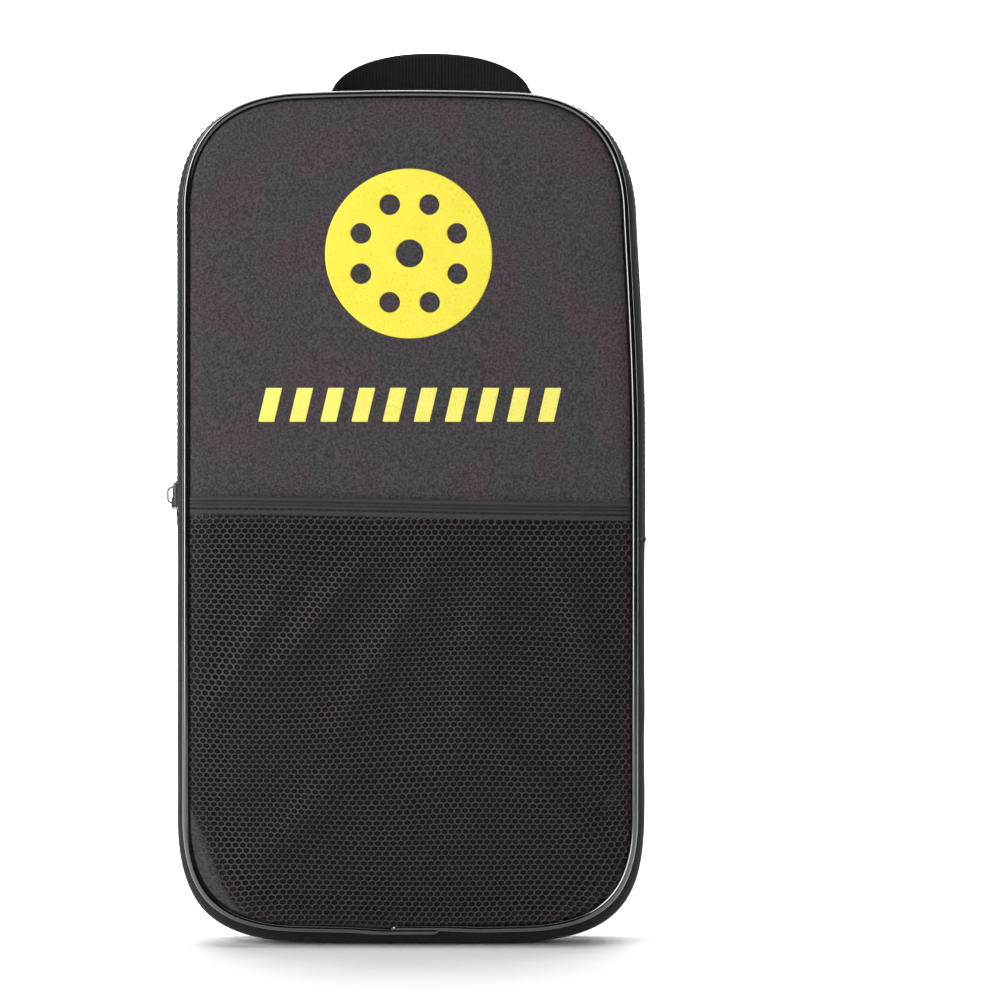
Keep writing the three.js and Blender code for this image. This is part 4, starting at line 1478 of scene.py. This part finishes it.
def build_handle():
    low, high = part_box("handle_webbing")
    centre = Vector((middle(low, high)[0], *HANDLE["pos_m"][1:]))
    columns = 4 * round(2 * HANDLE_HALF / RIB_PITCH)
    rows = 16
    grids = ([], [])
    coordinates = []
    for r in range(rows + 1):
        v = 0.5 - 0.5 * math.cos(math.pi * r / rows)
        lines = ([], [])
        marks = []
        for c in range(columns + 1):
            x = mix(-HANDLE_HALF, HANDLE_HALF, c / columns) * 0.999
            point = handle_point(x, v)
            along = handle_point(x + 0.2 * MM, v) - handle_point(x - 0.2 * MM, v)
            down = handle_point(x, min(v + 0.02, 1)) - handle_point(x, max(v - 0.02, 0))
            out = along.cross(down)
            out = out.normalized() if out.length > 1e-12 else Vector((0, 0, 1))
            selvedge = smooth(min(v, 1 - v) / 0.06)
            rib = RIB_HEIGHT * math.cos(2 * math.pi * x / RIB_PITCH) * selvedge
            half = WEBBING_THICKNESS / 2 * (0.62 + 0.38 * smooth(min(v, 1 - v) / 0.04)) + rib
            lines[0].append(centre + point + out * half)
            lines[1].append(centre + point - out * half)
            marks.append((x, v * WEBBING_WIDTH))
        grids[0].append(lines[0])
        grids[1].append(lines[1])
        coordinates.append(marks)
    band = grid_body("handle_band", *grids, coordinates, WEBBING_LOOK)
    finish_piece(band, "handle", "handle_webbing")


# ---- stage ----

# The paper sweep, in metres: its floor, the bend up into the backdrop, and its reach sideways and up.
PAPER_FRONT = -4.0
PAPER_BEND_FROM = 1.4
PAPER_BEND = 0.8
PAPER_SIZE = 4.0


def build_stage():
    """A white floor that curves up into a white backdrop."""
    finish = Finish("white_paper", 0.9, 0.2)
    fibre = finish.noise(60 * MM, 2)
    finish.colour(finish.ramp(fibre, (0.3, grey(0.92)), (0.7, grey(0.95))))
    profile = [(PAPER_FRONT, 0.0), (PAPER_BEND_FROM, 0.0)]
    for i in range(1, 13):
        angle = math.pi / 2 * i / 12
        y = PAPER_BEND_FROM + PAPER_BEND * math.sin(angle)
        profile.append((y, PAPER_BEND * (1 - math.cos(angle))))
    profile.append((PAPER_BEND_FROM + PAPER_BEND, PAPER_SIZE))
    points = [(x, y, z) for x in (-PAPER_SIZE, PAPER_SIZE) for y, z in profile]
    count = len(profile)
    faces = [(i, i + 1, count + i + 1, count + i) for i in range(count - 1)]
    make_piece("paper_sweep", points, faces, None, finish.material)


# The room is dim in front of the case and bright behind it, so the piping shows thin highlights.
ROOM_FRONT = 0.16
ROOM_BACK = 0.5


def area_light(name, place, target, size, power):
    data = bpy.data.lights.new(name, "AREA")
    data.shape = "RECTANGLE"
    data.size, data.size_y = size
    data.energy = power
    light = add_object(name, data)
    light.location = place
    light.rotation_euler = (Vector(target) - Vector(place)).to_track_quat("-Z", "Y").to_euler()


def build_lights():
    """The room, whose backdrop is plain white to the camera, and three soft boxes."""
    world = bpy.data.worlds.new("studio")
    bpy.context.scene.world = world
    world.use_nodes = True
    tree = world.node_tree
    background = tree.nodes["Background"]
    direction = tree.nodes.new("ShaderNodeTexCoord").outputs["Generated"]
    split = tree.nodes.new("ShaderNodeSeparateXYZ")
    tree.links.new(direction, split.inputs[0])
    glow = tree.nodes.new("ShaderNodeMapRange")
    glow.interpolation_type = "SMOOTHSTEP"
    tree.links.new(split.outputs["Y"], glow.inputs["Value"])
    glow.inputs["From Min"].default_value = 0.1
    glow.inputs["From Max"].default_value = 0.9
    glow.inputs["To Min"].default_value = ROOM_FRONT
    glow.inputs["To Max"].default_value = ROOM_BACK
    tree.links.new(glow.outputs[0], background.inputs["Strength"])
    white = tree.nodes.new("ShaderNodeBackground")
    white.inputs["Color"].default_value = (1, 1, 1, 1)
    chosen = tree.nodes.new("ShaderNodeMixShader")
    tree.links.new(tree.nodes.new("ShaderNodeLightPath").outputs["Is Camera Ray"], chosen.inputs[0])
    tree.links.new(background.outputs[0], chosen.inputs[1])
    tree.links.new(white.outputs[0], chosen.inputs[2])
    tree.links.new(chosen.outputs[0], tree.nodes["World Output"].inputs["Surface"])
    area_light("key_softbox", (-1.4, -1.55, 0.85), (0, 0, 0.32), (1.2, 1.9), 58)
    area_light("top_softbox", (0.0, 0.1, 1.9), (0, 0, 0.22), (2.4, 1.6), 30)
    area_light("backdrop_light", (0.0, 0.7, 1.7), (0, 2.2, 0.5), (3.0, 0.8), 80)


SENSOR_WIDTH = 36
LENS = 115
CAMERA_PLACE = (0.045, -1.625, 0.2245)


def build_camera():
    """Straight on, a little to the right of the case."""
    data = bpy.data.cameras.new("camera")
    data.sensor_width = SENSOR_WIDTH
    data.lens = LENS
    camera = add_object("camera", data)
    camera.location = CAMERA_PLACE
    camera.rotation_euler = (math.pi / 2, 0, 0)
    bpy.context.scene.camera = camera
    bpy.context.scene.view_settings.view_transform = "Standard"


# ---- everything ----

build_camera()
build_lights()
build_stage()
build_panels()
build_piping()
build_seam_bindings()
build_lower_gusset()
build_zip()
build_zip_stops()
build_prints()
build_net()
build_pocket_binding()
build_slider()
build_pull()
build_handle()
